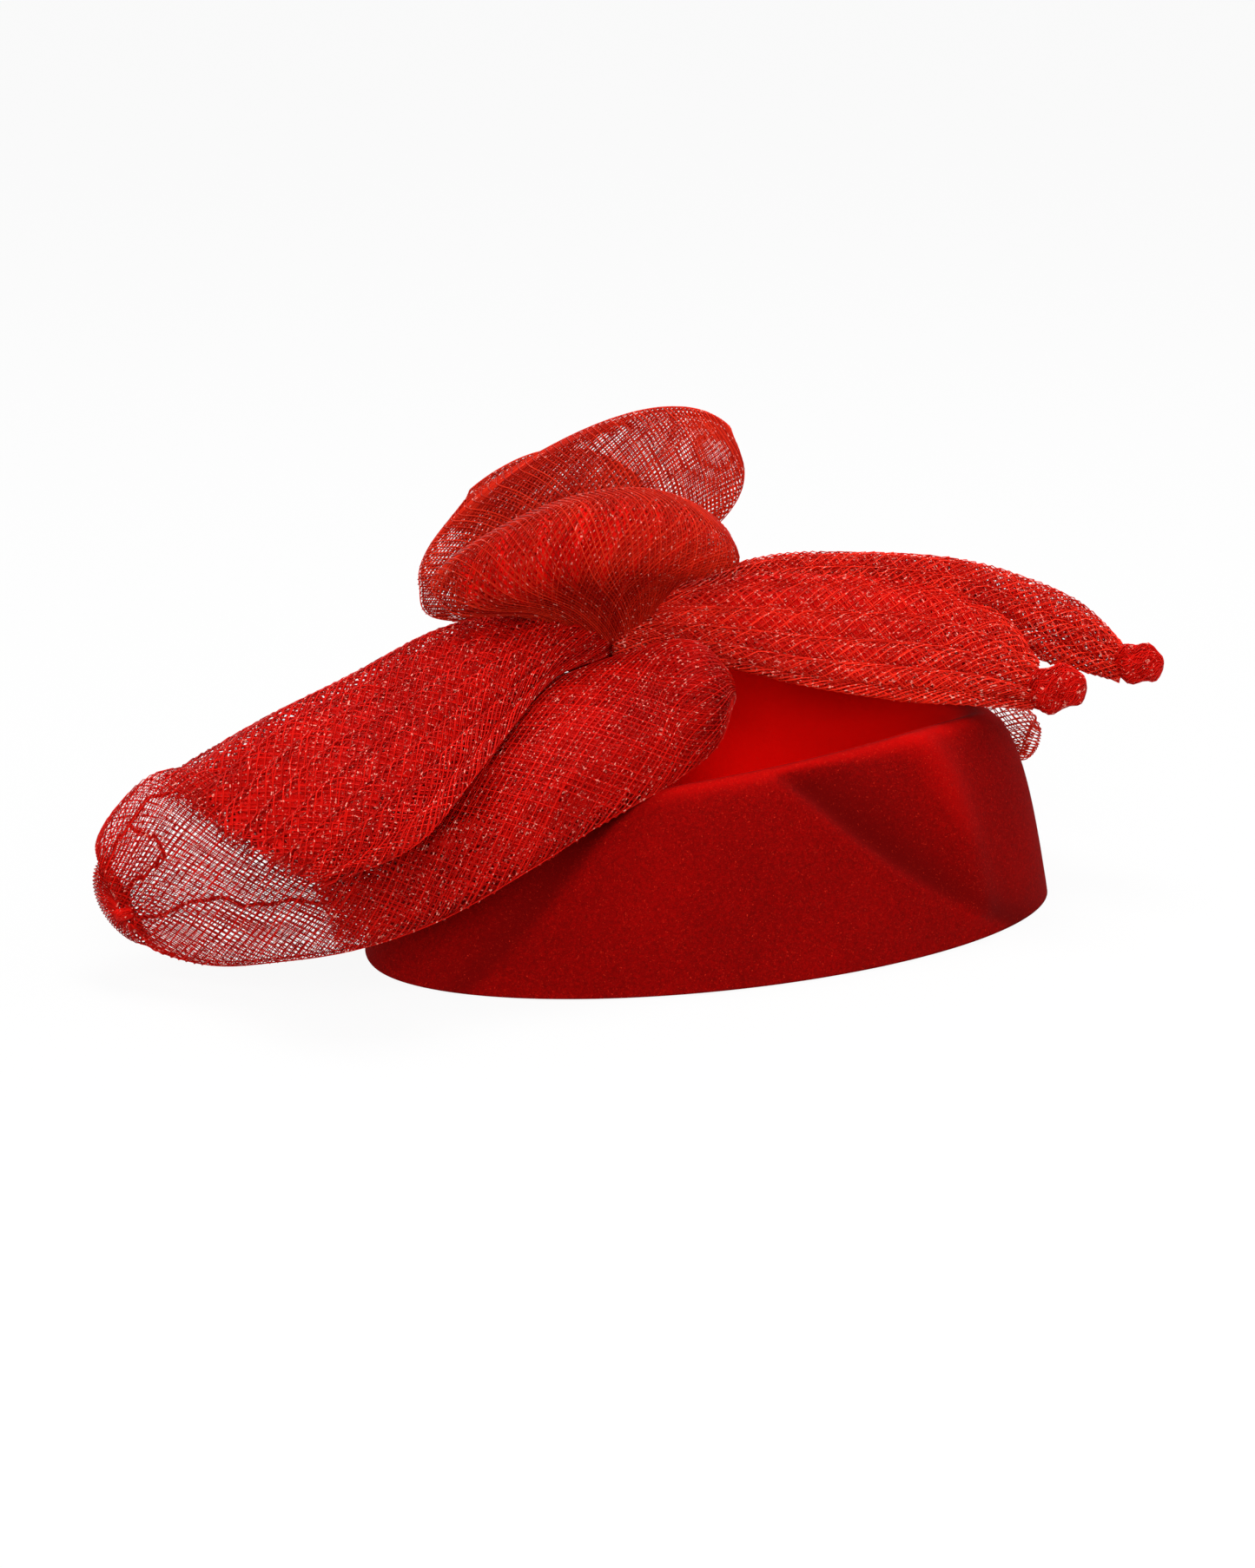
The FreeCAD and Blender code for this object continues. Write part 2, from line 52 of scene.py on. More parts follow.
# the felt's own sizes, as in the part's source
HALF_LENGTH, FRONT_HALF, REAR_HALF = 100.0, 54.0, 66.0
RIDGE_HALF_LENGTH, RIDGE_FRONT_HALF, RIDGE_REAR_HALF = 80.0, 37.0, 42.0
CROWN_HALF_LENGTH, CROWN_FRONT_HALF, CROWN_REAR_HALF = 56.0, 24.0, 27.0
CROWN_SHIFT, CROWN_HEIGHT = -6.0, 30.0
FELT = 3.0
RIDGE_HEIGHTS = np.array((53.0, 59.0, 65.0, 61.0, 48.0, 48.5, 53.5, 57.0))
WALL = np.array(((0.0, 0.0), (0.10, 0.22), (0.28, 0.50), (0.52, 0.76), (0.76, 0.93), (1.0, 1.0)))
SINK = np.array(((0.22, 0.97), (0.50, 0.80), (0.78, 0.40), (1.0, 0.0)))

# crin: finished thread radius and the gap between threads that run the same way
THREAD = 0.20
CELL = 2.6

pad_low, pad_high = (np.array(corner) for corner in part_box("trim_pad"))
CLEAR = 0.3
SEAT = np.array(((pad_low[0] + pad_high[0]) / 2, (pad_low[1] + pad_high[1]) / 2,
                 pad_low[2] - CLEAR * MM)) / MM


# ---------------------------------------------------------------- meshes

def unit(vectors):
    """Vectors scaled to length one."""
    return vectors / np.maximum(np.linalg.norm(vectors, axis=-1, keepdims=True), 1e-12)


def make_piece(name, parts, materials, body="body", replaces=()):
    """One mesh object from parts (points in millimetres, [face arrays], tone, weave, material number)."""
    points, faces, marks, tones, weaves, first = [], {}, {}, [], [], 0
    for part_points, part_faces, tone, weave, number in parts:
        flat = part_points.reshape(-1, 3)
        points.append(flat)
        tones.append(np.broadcast_to(tone, part_points.shape[:-1]).reshape(-1))
        weaves.append(np.broadcast_to(weave, part_points.shape).reshape(-1, 3))
        for block in part_faces:
            faces.setdefault(block.shape[1], []).append(block + first)
            marks.setdefault(block.shape[1], []).append(np.full(len(block), number))
        first += len(flat)
    points = np.concatenate(points) * MM
    blocks = [np.concatenate(group) for group in faces.values()]
    corners = np.concatenate([block.ravel() for block in blocks])
    sizes = np.concatenate([np.full(len(block), block.shape[1]) for block in blocks])
    mesh = bpy.data.meshes.new(name)
    mesh.vertices.add(len(points))
    mesh.vertices.foreach_set("co", points.astype(np.float32).ravel())
    mesh.loops.add(len(corners))
    mesh.loops.foreach_set("vertex_index", corners.astype(np.int32))
    mesh.polygons.add(len(sizes))
    mesh.polygons.foreach_set("loop_start", (np.cumsum(sizes) - sizes).astype(np.int32))
    mesh.polygons.foreach_set("use_smooth", np.ones(len(sizes), bool))
    mesh.polygons.foreach_set("material_index", np.concatenate(
        [number for group in marks.values() for number in group]).astype(np.int32))
    mesh.update(calc_edges=True)
    tone = mesh.attributes.new("tone", "FLOAT", "POINT")
    tone.data.foreach_set("value", np.concatenate(tones).astype(np.float32))
    weave = mesh.attributes.new("weave", "FLOAT_VECTOR", "POINT")
    weave.data.foreach_set("vector", np.concatenate(weaves).astype(np.float32).ravel())
    for material in materials:
        mesh.materials.append(material)
    piece = bpy.data.objects.new(name, mesh)
    bpy.context.scene.collection.objects.link(piece)
    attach(piece, body)
    if replaces:
        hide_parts(*replaces)
    return piece


def skin_faces(rows, around):
    """Quads over a grid of points that closes on itself around."""
    index = np.arange(rows * around).reshape(rows, around)
    low, high = index[:-1], index[1:]
    return np.stack((low, np.roll(low, -1, 1), np.roll(high, -1, 1), high), -1).reshape(-1, 4)


def spread(surface):
    """Share along and share across of a flattened tube's points, across from 1 (rear) to -1 (front)."""
    rows, around = surface.shape[:2]
    place = np.arange(around) / around
    return np.linspace(0, 1, rows)[:, None], np.where(place < 0.5, 1 - 4 * place, 4 * place - 3)[None]


def cloth(surface, cover):
    """Inner folds of crin, too close to tell apart: a skin that knows its own weave.

    The weave is millimetres along, millimetres across and the side; the tone is how closely the
    folds cover, from 0 (none) to 1 (no gap).
    """
    along, across = spread(surface)
    middle = surface.mean(1)
    steps = np.linalg.norm(np.diff(middle, axis=0), axis=1)
    travelled = np.concatenate(((0,), np.cumsum(steps)))[:, None]
    girth = np.linalg.norm(surface - np.roll(surface, 1, 1), axis=2).sum(1).max()
    side = np.where(np.arange(surface.shape[1]) < surface.shape[1] / 2, 1.0, -1.0)[None]
    weave = np.stack((travelled + 0 * across, girth / 4 * across + 0 * along, side + 0 * along), -1)
    return surface, [skin_faces(*surface.shape[:2])], np.clip(cover, 0, 1) + 0 * along, weave, 1


def cords(paths, normals, radius, sides=3, tone=0.5):
    """Threads along paths [thread, step, xyz]: a ring of a few points square to each step."""
    along = unit(np.gradient(paths, axis=1))
    side = unit(np.cross(along, normals))
    up = np.cross(side, along)
    angle = TURN * (np.arange(sides) + 0.25) / sides
    radius = np.asarray(radius, float).reshape(-1, 1, 1, 1) if np.ndim(radius) else radius
    points = (paths[:, :, None] + radius * (np.cos(angle)[:, None] * up[:, :, None]
                                            + np.sin(angle)[:, None] * side[:, :, None]))
    index = np.arange(points[..., 0].size).reshape(points.shape[:3])
    low, high = index[:, :-1], index[:, 1:]
    quads = np.stack((low, np.roll(low, -1, 2), np.roll(high, -1, 2), high), -1).reshape(-1, 4)
    caps = np.concatenate((index[:, 0, ::-1], index[:, -1]))
    tone = np.broadcast_to(np.asarray(tone, float).reshape(-1, 1, 1), points.shape[:3])
    return points, [quads, caps], tone, 0.0, 0


def at(surface, along, around):
    """Surface values at shares along (0 to 1) and around (any, it repeats), straight between points."""
    rows, columns = surface.shape[:2]
    x = np.clip(along, 0, 1) * (rows - 1)
    y = (around % 1) * columns
    i = np.minimum(x.astype(int), rows - 2)
    j = np.floor(y).astype(int) % columns
    k = (j + 1) % columns
    f, g = (x - i)[..., None], (y - np.floor(y))[..., None]
    return ((surface[i, j] * (1 - g) + surface[i, k] * g) * (1 - f)
            + (surface[i + 1, j] * (1 - g) + surface[i + 1, k] * g) * f)


def normals_of(surface):
    """Square to a surface: the step along crossed with the step around."""
    return unit(np.cross(np.gradient(surface, axis=0),
                         np.roll(surface, -1, 1) - np.roll(surface, 1, 1)))


def net(surface, seed, count=None, first=0.0, last=1.0, ragged=0.0, lean=1.0, radius=THREAD,
        cell=CELL, step=2.4, waver=0.12):
    """Braided tube on a surface: two families of threads that wind opposite ways.

    A thread's place around is its start plus or minus a steady number of turns for each length
    along the tube, so the mesh keeps its threads and closes up where the tube is gathered. Each
    thread wavers by a share of a cell, and raw ends stop raggedly.
    """
    chance = np.random.default_rng(seed)
    middle = surface.mean(1)
    lengths = np.linalg.norm(np.diff(middle, axis=0), axis=1)
    travelled = np.concatenate(((0,), np.cumsum(lengths)))
    girth = np.linalg.norm(surface - np.roll(surface, 1, 1), axis=2).sum(1).max()
    count = count or max(8, int(round(girth / cell)))
    turns = lean * travelled[-1] / girth
    steps = max(6, int(travelled[-1] * (last - first) * np.hypot(1, lean) / step))
    normals = normals_of(surface)
    parts = []
    for way in (1, -1):
        start = (np.arange(count) + 0.03 * chance.normal(size=count)) / count
        stop = last - ragged * chance.random(count)
        along = first + (stop[:, None] - first) * np.linspace(0, 1, steps)
        share = np.interp(along, np.linspace(0, 1, len(travelled)), travelled / travelled[-1])
        wave = np.sin(share * TURN * chance.uniform(2, 5, (count, 1)) + chance.uniform(0, TURN, (count, 1)))
        around = start[:, None] + way * turns * share + waver * wave / count
        square = at(normals, along, around)
        paths = at(surface, along, around) + square * (way * 0.8 * radius)
        parts.append(cords(paths, square, radius, tone=chance.random(count)))
    return parts


def lengthwise(surface, places, radius, first=0.0, last=1.0, steps=120, lift=0.0):
    """Single threads that run along a surface at the given shares around."""
    along = np.linspace(first, last, steps)[None].repeat(len(places), 0)
    around = np.asarray(places, float)[:, None] + 0 * along
    square = at(normals_of(surface), along, around)
    return cords(at(surface, along, around) + square * lift, square, radius)


def rim(surface, share, radius, strands=3, step=0.012, first=0.0, last=1.0, seed=0):
    """Folded edge: strands that run around the surface beside each other near one share along."""
    chance = np.random.default_rng(seed)
    around = np.linspace(first, last, 240)[None].repeat(strands, 0)
    along = share - step * np.arange(strands)[:, None] + 0 * around
    along = along + 0.25 * step * np.sin(around * TURN * 9 + chance.uniform(0, TURN, (strands, 1)))
    square = at(normals_of(surface), along, around)
    return cords(at(surface, along, around), square, radius)


# ---------------------------------------------------------------- felt

def repeating_curve(values, turns):
    """Smooth closed curve through equally spaced values, by the same cubic as the part's source."""
    place = (turns % 1) * len(values)
    i = np.floor(place).astype(int)
    f = place - i
    a, b, c, d = (values[(i + k) % len(values)] for k in (-1, 0, 1, 2))
    return b + 0.5 * f * (c - a + f * (2 * a - 5 * b + 4 * c - d + f * (3 * (b - c) + d - a)))


def oval(turns, half_length, front, rear, shift=0.0):
    """Oval that is deeper at the rear: cosine along its length, sine times the side's own depth."""
    side = np.where(np.sin(TURN * turns) > 0, rear, front)
    return np.stack((shift + half_length * np.cos(TURN * turns), side * np.sin(TURN * turns)), -1)


def spline(poles, count, closed):
    """Uniform cubic spline over control points on the first axis, sampled at equal steps."""
    if closed:
        spans = len(poles)
        padded = np.concatenate((poles[-1:], poles, poles[:2]))
    else:
        spans = len(poles) - 1
        padded = np.concatenate((2 * poles[:1] - poles[1:2], poles, 2 * poles[-1:] - poles[-2:-1]))
    place = np.linspace(0, spans, count, endpoint=not closed)
    i = np.minimum(place.astype(int), spans - 1)
    f = (place - i).reshape(-1, *([1] * (poles.ndim - 1)))
    return ((1 - f) ** 3 * padded[i] + (3 * f ** 3 - 6 * f ** 2 + 4) * padded[i + 1]
            + (-3 * f ** 3 + 3 * f ** 2 + 3 * f + 1) * padded[i + 2] + f ** 3 * padded[i + 3]) / 6


def felt_outline(turns):
    """Control rows of the felt's outer face: a leaning wall, a rolled ridge and a sunk crown."""
    edge = oval(turns, HALF_LENGTH, FRONT_HALF, REAR_HALF)
    ridge = oval(turns, RIDGE_HALF_LENGTH, RIDGE_FRONT_HALF, RIDGE_REAR_HALF)
    crown = oval(turns, CROWN_HALF_LENGTH, CROWN_FRONT_HALF, CROWN_REAR_HALF, CROWN_SHIFT)
    height = repeating_curve(RIDGE_HEIGHTS, turns)[:, None]
    rows = [np.hstack((edge + (ridge - edge) * share, height * rise)) for share, rise in WALL]
    rows += [np.hstack((ridge + (crown - ridge) * share, CROWN_HEIGHT + (height - CROWN_HEIGHT) * rise))
             for share, rise in SINK]
    return np.array(rows)


def line_distance(surface, low, high, bow=0.0):
    """Signed distance in millimetres along the wall from a line, more turn being positive.

    The line goes from (turn, share of the profile) low to high; its turn at each row is straight
    between them plus 4 t (1 - t) times the bow, and the difference in turn is scaled by the
    wall's length per turn.
    """
    rows, around = surface.shape[:2]
    share = np.linspace(0, 1, rows)
    t = np.clip((share - low[1]) / (high[1] - low[1]), -0.1, 1.2)
    line = low[0] + (high[0] - low[0]) * t + 4 * bow * t * (1 - t)
    length = np.linalg.norm(np.roll(surface, -1, 1) - surface, axis=2) * around
    turn = np.arange(around) / around
    off = (turn[None] - line[:, None] + 0.5) % 1 - 0.5
    return off * length, share[:, None]


def smooth(value, none, full):
    """0 at none, rising smoothly to 1 at full: 3 t squared less 2 t cubed."""
    t = np.clip((value - none) / (full - none), 0, 1)
    return t * t * (3 - 2 * t)


def pressed_fold(surface, low, high, bow, valley_side, depth, width):
    """Pressed fold: how far it moves the felt, and how much painted shade darkens its valley (0 to 1).

    There is a soft raised edge along its line, and a valley that fades out past it.

    With x the distance past the line, the valley is one bell curve (width) less a narrow one
    (EDGE_ROUND), so it starts level. It dies away at the ridge and at the lower edge.
    """
    distance, share = line_distance(surface, low, high, bow)
    x = distance * valley_side
    valley = (1 - np.exp(-(x / EDGE_ROUND) ** 2)) * np.exp(-(x / width) ** 2) * (x > 0)
    edge = 0.12 * np.exp(-(x / (1.3 * EDGE_ROUND)) ** 2)
    fade = smooth(share, high[1] + 0.08, high[1] - 0.06)
    return (edge - valley) * depth * fade * smooth(share, 0.04, 0.27), valley * fade


def swelling(surface, low, high, height, width):
    """Rounded corner that stands out along a line, as a bell curve: its height and its mask."""
    distance, share = line_distance(surface, low, high)
    mask = np.exp(-(distance / width) ** 2) * smooth(share, 0.62, 0.46) * smooth(share, 0.0, 0.1)
    return height * mask, mask


FELT_ROWS, FELT_AROUND = 150, 420


def felt_base():
    """Blocked felt: outer face with its pressed folds, a rolled lower edge and the inner face."""
    turns = np.arange(32) / 32
    poles = felt_outline(turns)
    outer = spline(np.swapaxes(spline(poles, FELT_ROWS, False), 0, 1), FELT_AROUND, True).swapaxes(0, 1)
    square = normals_of(outer)
    square *= np.sign((square[20] * outer[20]).sum(-1).mean())
    flat = square.copy()
    flat[..., 2] *= np.linspace(0, 1, FELT_ROWS)[:, None] ** 0.5
    share = np.linspace(0, 1, FELT_ROWS)[:, None]
    folds = [pressed_fold(outer, *fold) for fold in FOLDS]
    corner = swelling(outer, *CORNER)
    push = sum(fold[0] for fold in folds) + corner[0]
    chance = np.random.default_rng(4)
    for waves, rise, size in ((3, 2, 0.35), (5, 3, 0.25), (9, 5, 0.12)):
        phase = chance.uniform(0, TURN, 2)
        push = push + size * (np.sin(TURN * waves * np.arange(FELT_AROUND) / FELT_AROUND + phase[0])
                              * np.sin(np.pi * rise * np.linspace(0, 1, FELT_ROWS)[:, None] + phase[1]))
    push *= smooth(share, 0.0, 0.07)
    inner = outer + square * (push * smooth(share, 0.11, 0.20))[..., None] - unit(flat) * FELT
    inner[0, :, 2] = 0.0
    outer = outer + square * push[..., None]
    outer[..., 2] = np.maximum(outer[..., 2], 0)
    lip = outer[0] + (inner[0] - outer[0]) * 0.5
    lip[:, 2] = 0.0
    middle_out, middle_in = (np.repeat(face[-1:].mean(1, keepdims=True), FELT_AROUND, 1) for face in (outer, inner))
    points = np.concatenate((middle_out, outer[::-1], lip[None], inner, middle_in))
    # Tone of painted light on the outer face: painted shade in the fold valleys, less painted highlight along the
    # ridge, along the rounded corner and inside the sunk crown; the crown's middle point takes full painted
    # highlight.
    painted_highlight = 0.28 * np.exp(-((share - 0.54) / 0.06) ** 2) + 0.18 * corner[1] + smooth(share, 0.60, 0.72)
    nap = np.clip(1.25 * sum(fold[1] for fold in folds), 0, 1) - painted_highlight
    tone = np.zeros(points.shape[:2])
    tone[1:len(nap) + 1] = nap[::-1]
    tone[0] = -1.0
    return points, [skin_faces(len(points), FELT_AROUND)], tone, 0.0, 0


# front wall: (turn, share of the profile) at both ends of a fold, bow, side of its valley, depth, width
FOLD_DEPTH = 4.4
EDGE_ROUND = 5.0
FOLDS = (
    ((0.604, 0.03), (0.676, 0.50), 0.004, -1, FOLD_DEPTH, 12.0),
    ((0.848, 0.054), (0.745, 0.477), -0.016, 1, FOLD_DEPTH, 19.0),
)
CORNER = ((0.852, 0.074), (0.836, 0.557), 3.0, 7.0)


# ---------------------------------------------------------------- crin surfaces

# a station is (front edge, middle, rear edge, half thickness)
FRONT_TOP_LOOP = (
    ((-11, -15, 12), (-4, -19, 11), (6, -15, 12), 2.5),
    ((-27, -12, 19), (-10, -26, 26), (16, -22, 26), 3.5),
    ((-44, -9, 20), (-14, -35, 38), (26, -26, 29), 4.0),
    ((-49, -3, 27), (-10, -35, 49), (34, -21, 30), 4.0),
    ((-42, 3, 32), (-5, -26, 54), (35, -13, 36), 0.7))
REAR_TOP_LOOP = (
    ((-9, 3, 13), (0, 0, 17), (6, 1, 16), 3.0),
    ((-41, 14, 13), (0, 0, 32), (28, -1, 30), 4.0),
    ((-44, 21, 21), (4, 3, 48), (42, 2, 39), 4.0),
    ((-39, 28, 29), (10, 9, 59), (49, 8, 48), 4.0),
    ((-27, 30, 42), (17, 14, 66), (47, 13, 60), 0.7))
MIDDLE_TOP_LOOP = (
    ((1, 13, 16.2), (4, 12, 16.2), (8, 12, 16.2), 1.5),
    ((-19, 30, 18), (-3, 19, 28), (17, 15, 27), 4.0),
    ((-25, 39, 33), (1, 26, 44), (23, 23, 35), 4.0),
    ((-21, 42, 42), (3, 32, 54), (26, 28, 44), 0.7))
LONG_LOOP = (
    ((16, -52, -2), (18, -50, 2), (18, -46, 8), 2.0),
    ((8, -62, -9), (5, -61, 7), (10, -41, 14), 5.0),
    ((-8, -72, -14), (-8, -60, 2), (-2, -34, 11), 6.0),
    ((-31, -80, -20), (-28, -63, -2), (-21, -28, 4), 6.0),
    ((-51, -82, -29), (-50, -63, -10), (-43, -25, -5), 6.0),
    ((-73, -77, -41), (-74, -60, -20), (-68, -23, -14), 6.0),
    ((-92, -65, -50), (-96, -56, -29), (-94, -23, -22), 7.0),
    ((-108, -50, -56), (-114, -42, -33), (-112, -11, -16), 7.0),
    ((-122, -35, -60), (-130, -29, -36), (-128, -6, -16), 7.0),
    ((-136, -27, -56), (-143, -20, -43), (-143, -5, -33), 5.0),
    ((-141, -30, -48), (-143, -28, -45), (-143, -25, -43), 1.2))
LEFT_TAIL = (
    ((-5, -20, 7), (-8, -14, 15), (-10, 1, 19), 4.5),
    ((-27, -38, 8), (-24, -24, 13), (-24, 2, 16), 4.0),
    ((-46, -58, 3), (-46, -34, 9), (-46, 5, 12), 4.0),
    ((-66, -80, -4), (-69, -45, 1), (-71, 7, 1), 4.0),
    ((-85, -90, -16), (-92, -51, -8), (-96, 8, -9), 4.0),
    ((-107, -82, -26), (-117, -54, -25), (-128, 4, -22), 3.0))
NEAR_TAIL = (
    ((-3, -21, 6), (-2, -16, 13), (3, -6, 17), 4.0),
    ((19, -34, 6), (24, -26, 12), (36, -5, 22), 3.0),
    ((41, -48, 1), (49, -38, 9), (66, -9, 22), 3.0),
    ((64, -59, -3), (73, -50, 7), (94, -22, 19), 3.0),
    ((81, -67, -4), (89, -60, 4), (106, -43, 12), 3.5),
    ((99, -71, -6), (101, -68, -1), (104, -63, 4), 4.5))
FAR_TAIL = (
    ((7.8, 2, 8), (8.8, 4, 10), (10.8, 7, 12), 2.0),
    ((37, 0, 12), (42, 4, 16), (49, 10, 21), 4.0),
    ((65, -8, 11), (71, -6, 19), (81, 5, 21), 4.0),
    ((94, -27, 8), (99, -23, 17), (110, -12, 20), 4.0),
    ((116, -43, -1), (121, -39, 8), (133, -30, 12), 4.0),
    ((134, -58, -5), (136, -55, -1), (138, -52, 3), 4.0))
RIGHT_LOOP = (
    ((11.1, 13.3, 7), (12.1, 13.3, 9), (14.1, 14.3, 11), 1.5),
    ((33, 10, -6), (38, 10, 1), (40, 7, 10), 4.0),
    ((68, 9, -22), (72, 8, -12), (72, 1, 2), 5.0),
    ((96, 2, -34), (99, 0, -22), (97, -8, -6), 5.0),
    ((114, -9, -40), (116, -9, -30), (115, -15, -17), 5.0),
    ((123, -19, -38), (126, -20, -31), (127, -22, -23), 4.0),
    ((127, -21, -36), (129, -21, -32), (130, -22, -28), 2.0))


def flow(rows, place):
    """Smooth curve through rows of numbers, by the same cubic as the part's source."""
    padded = np.concatenate((2 * rows[:1] - rows[1:2], rows, 2 * rows[-1:] - rows[-2:-1]))
    i = np.minimum(place.astype(int), len(rows) - 2)
    f = (place - i)[:, None]
    p, q, r, t = (padded[i + k] for k in range(4))
    return q + 0.5 * f * (r - p + f * (2 * p - 5 * q + 4 * r - t + f * (3 * (q - r) + t - p)))


def crin_tube(stations, thick=1.0, pleats=0.0, fold=0.0, shift=0.0, rows=140, around=120,
              first=0.0, last=1.0, inset=0.0):
    """Flattened tube through its stations.

    Across, each station is the parabola through its front, middle and rear points, q from 1 at
    the rear edge to -1 at the front edge and back; the two walls stand apart by the thickness
    times the root of 1 - q squared. Pleats add a wave along q, square to the cloth, that grows
    from the root and dies at the folded edges.
    """
    table = np.array([front + middle + rear + (half,) for front, middle, rear, half in stations], float)
    share = np.linspace(first, last, rows)
    row = flow(table, share * (len(table) - 1))
    front, middle, rear, half = row[:, None, 0:3], row[:, None, 3:6], row[:, None, 6:9], row[:, 9:10]
    place = np.arange(around) / around
    q = np.where(place < 0.5, 1 - 4 * place, 4 * place - 3) * (1 - inset)
    side = np.where(place < 0.5, 1, -1)
    w = q[None, :, None]
    point = front * (w * (w - 1) / 2) + middle * (1 - w * w) + rear * (w * (w + 1) / 2)
    slope = front * (w - 0.5) - middle * (2 * w) + rear * (w + 0.5)
    path = np.gradient(middle, axis=0)
    square = unit(np.cross(slope, np.broadcast_to(path, slope.shape)))
    height = half * thick * np.sqrt(np.maximum(1 - q * q, 0)) * side
    if pleats:
        grow = np.clip(share * 4, 0.25, 1)[:, None]
        drift = 0.5 * np.sin(share * 7 + shift)[:, None]
        height = height + fold * grow * (1 - q ** 4) * np.sin(np.pi * pleats * q + drift + shift)
    return SEAT + point + square * height[..., None]


def knot_skin(node, way, swell=1.0, rows=60, around=72, lobes=3):
    """Egg around a knot's own solid, drawn in by the turns of the cloth that is tied."""
    low, high = (np.array(corner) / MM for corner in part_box(node))
    centre, way = (low + high) / 2, unit(np.array(way, float))
    across = unit(np.cross(way, (0.0, 0.0, 1.0)))
    up = np.cross(across, way)
    size = KNOT_SIZE[node]
    a = np.linspace(0.02, np.pi - 0.02, rows)[:, None]
    b = TURN * np.arange(around) / around
    wrap = 1 + 0.10 * np.sin(lobes * a * 2 + b + 0.6) + 0.05 * np.sin(5 * b - 4 * a)
    along = -size[0] * np.cos(a) + 0 * b
    radius = size[1] * np.sin(a) ** 0.8 * wrap * swell
    return (centre + along[..., None] * way + (radius * np.cos(b))[..., None] * across
            + (radius * np.sin(b))[..., None] * up)


KNOT_SIZE = {"near_tail_knot": (8.6, 6.1), "far_tail_knot": (6.8, 5.4), "loop_tip_tie": (2.4, 1.6)}
NEAR_KNOT_WAY, FAR_KNOT_WAY = (0.75, -0.63, 0.20), (0.76, -0.65, -0.04)


# ---------------------------------------------------------------- materials

def place(tree, kind, values=(), **settings):
    """A shader node with its sockets set by number or name, or linked where a socket is given."""
    node = tree.nodes.new(kind)
    for name, value in settings.items():
        setattr(node, name, value)
    for key, value in dict(values).items():
        if isinstance(value, bpy.types.NodeSocket):
            tree.links.new(value, node.inputs[key])
        else:
            node.inputs[key].default_value = value
    return node


def shader_group(name, inputs, outputs):
    """An empty node group with named value, colour or vector sockets."""
    group = bpy.data.node_groups.new(name, "ShaderNodeTree")
    for label, kind, value in inputs:
        socket = group.interface.new_socket(label, in_out="INPUT", socket_type="NodeSocket" + kind)
        if value is not None:
            socket.default_value = value
    for label, kind in outputs:
        group.interface.new_socket(label, in_out="OUTPUT", socket_type="NodeSocket" + kind)
    return group, group.nodes.new("NodeGroupInput"), group.nodes.new("NodeGroupOutput")


def glint_group():
    """Bright flecks and slow shade on crin: fine noise cut high, and broad noise."""
    group, given, result = shader_group(
        "crin_glint", (("Place", "Vector", None), ("Scale", "Float", 900.0), ("Cut", "Float", 0.62)),
        (("Fleck", "Float"), ("Shade", "Float")))
    fine = place(group, "ShaderNodeTexNoise", {"Vector": given.outputs[0], "Scale": given.outputs[1],
                                               "Detail": 1.0, "Roughness": 0.6})
    above = place(group, "ShaderNodeMath", {0: fine.outputs[0], 1: given.outputs[2]}, operation="SUBTRACT")
    painted_glint = place(group, "ShaderNodeMath", {0: above.outputs[0], 1: 14.0}, operation="MULTIPLY",
                  use_clamp=True)
    broad = place(group, "ShaderNodeTexNoise", {"Vector": given.outputs[0], "Scale": 60.0, "Detail": 3.0})
    group.links.new(painted_glint.outputs[0], result.inputs[0])
    group.links.new(broad.outputs[0], result.inputs[1])
    return group


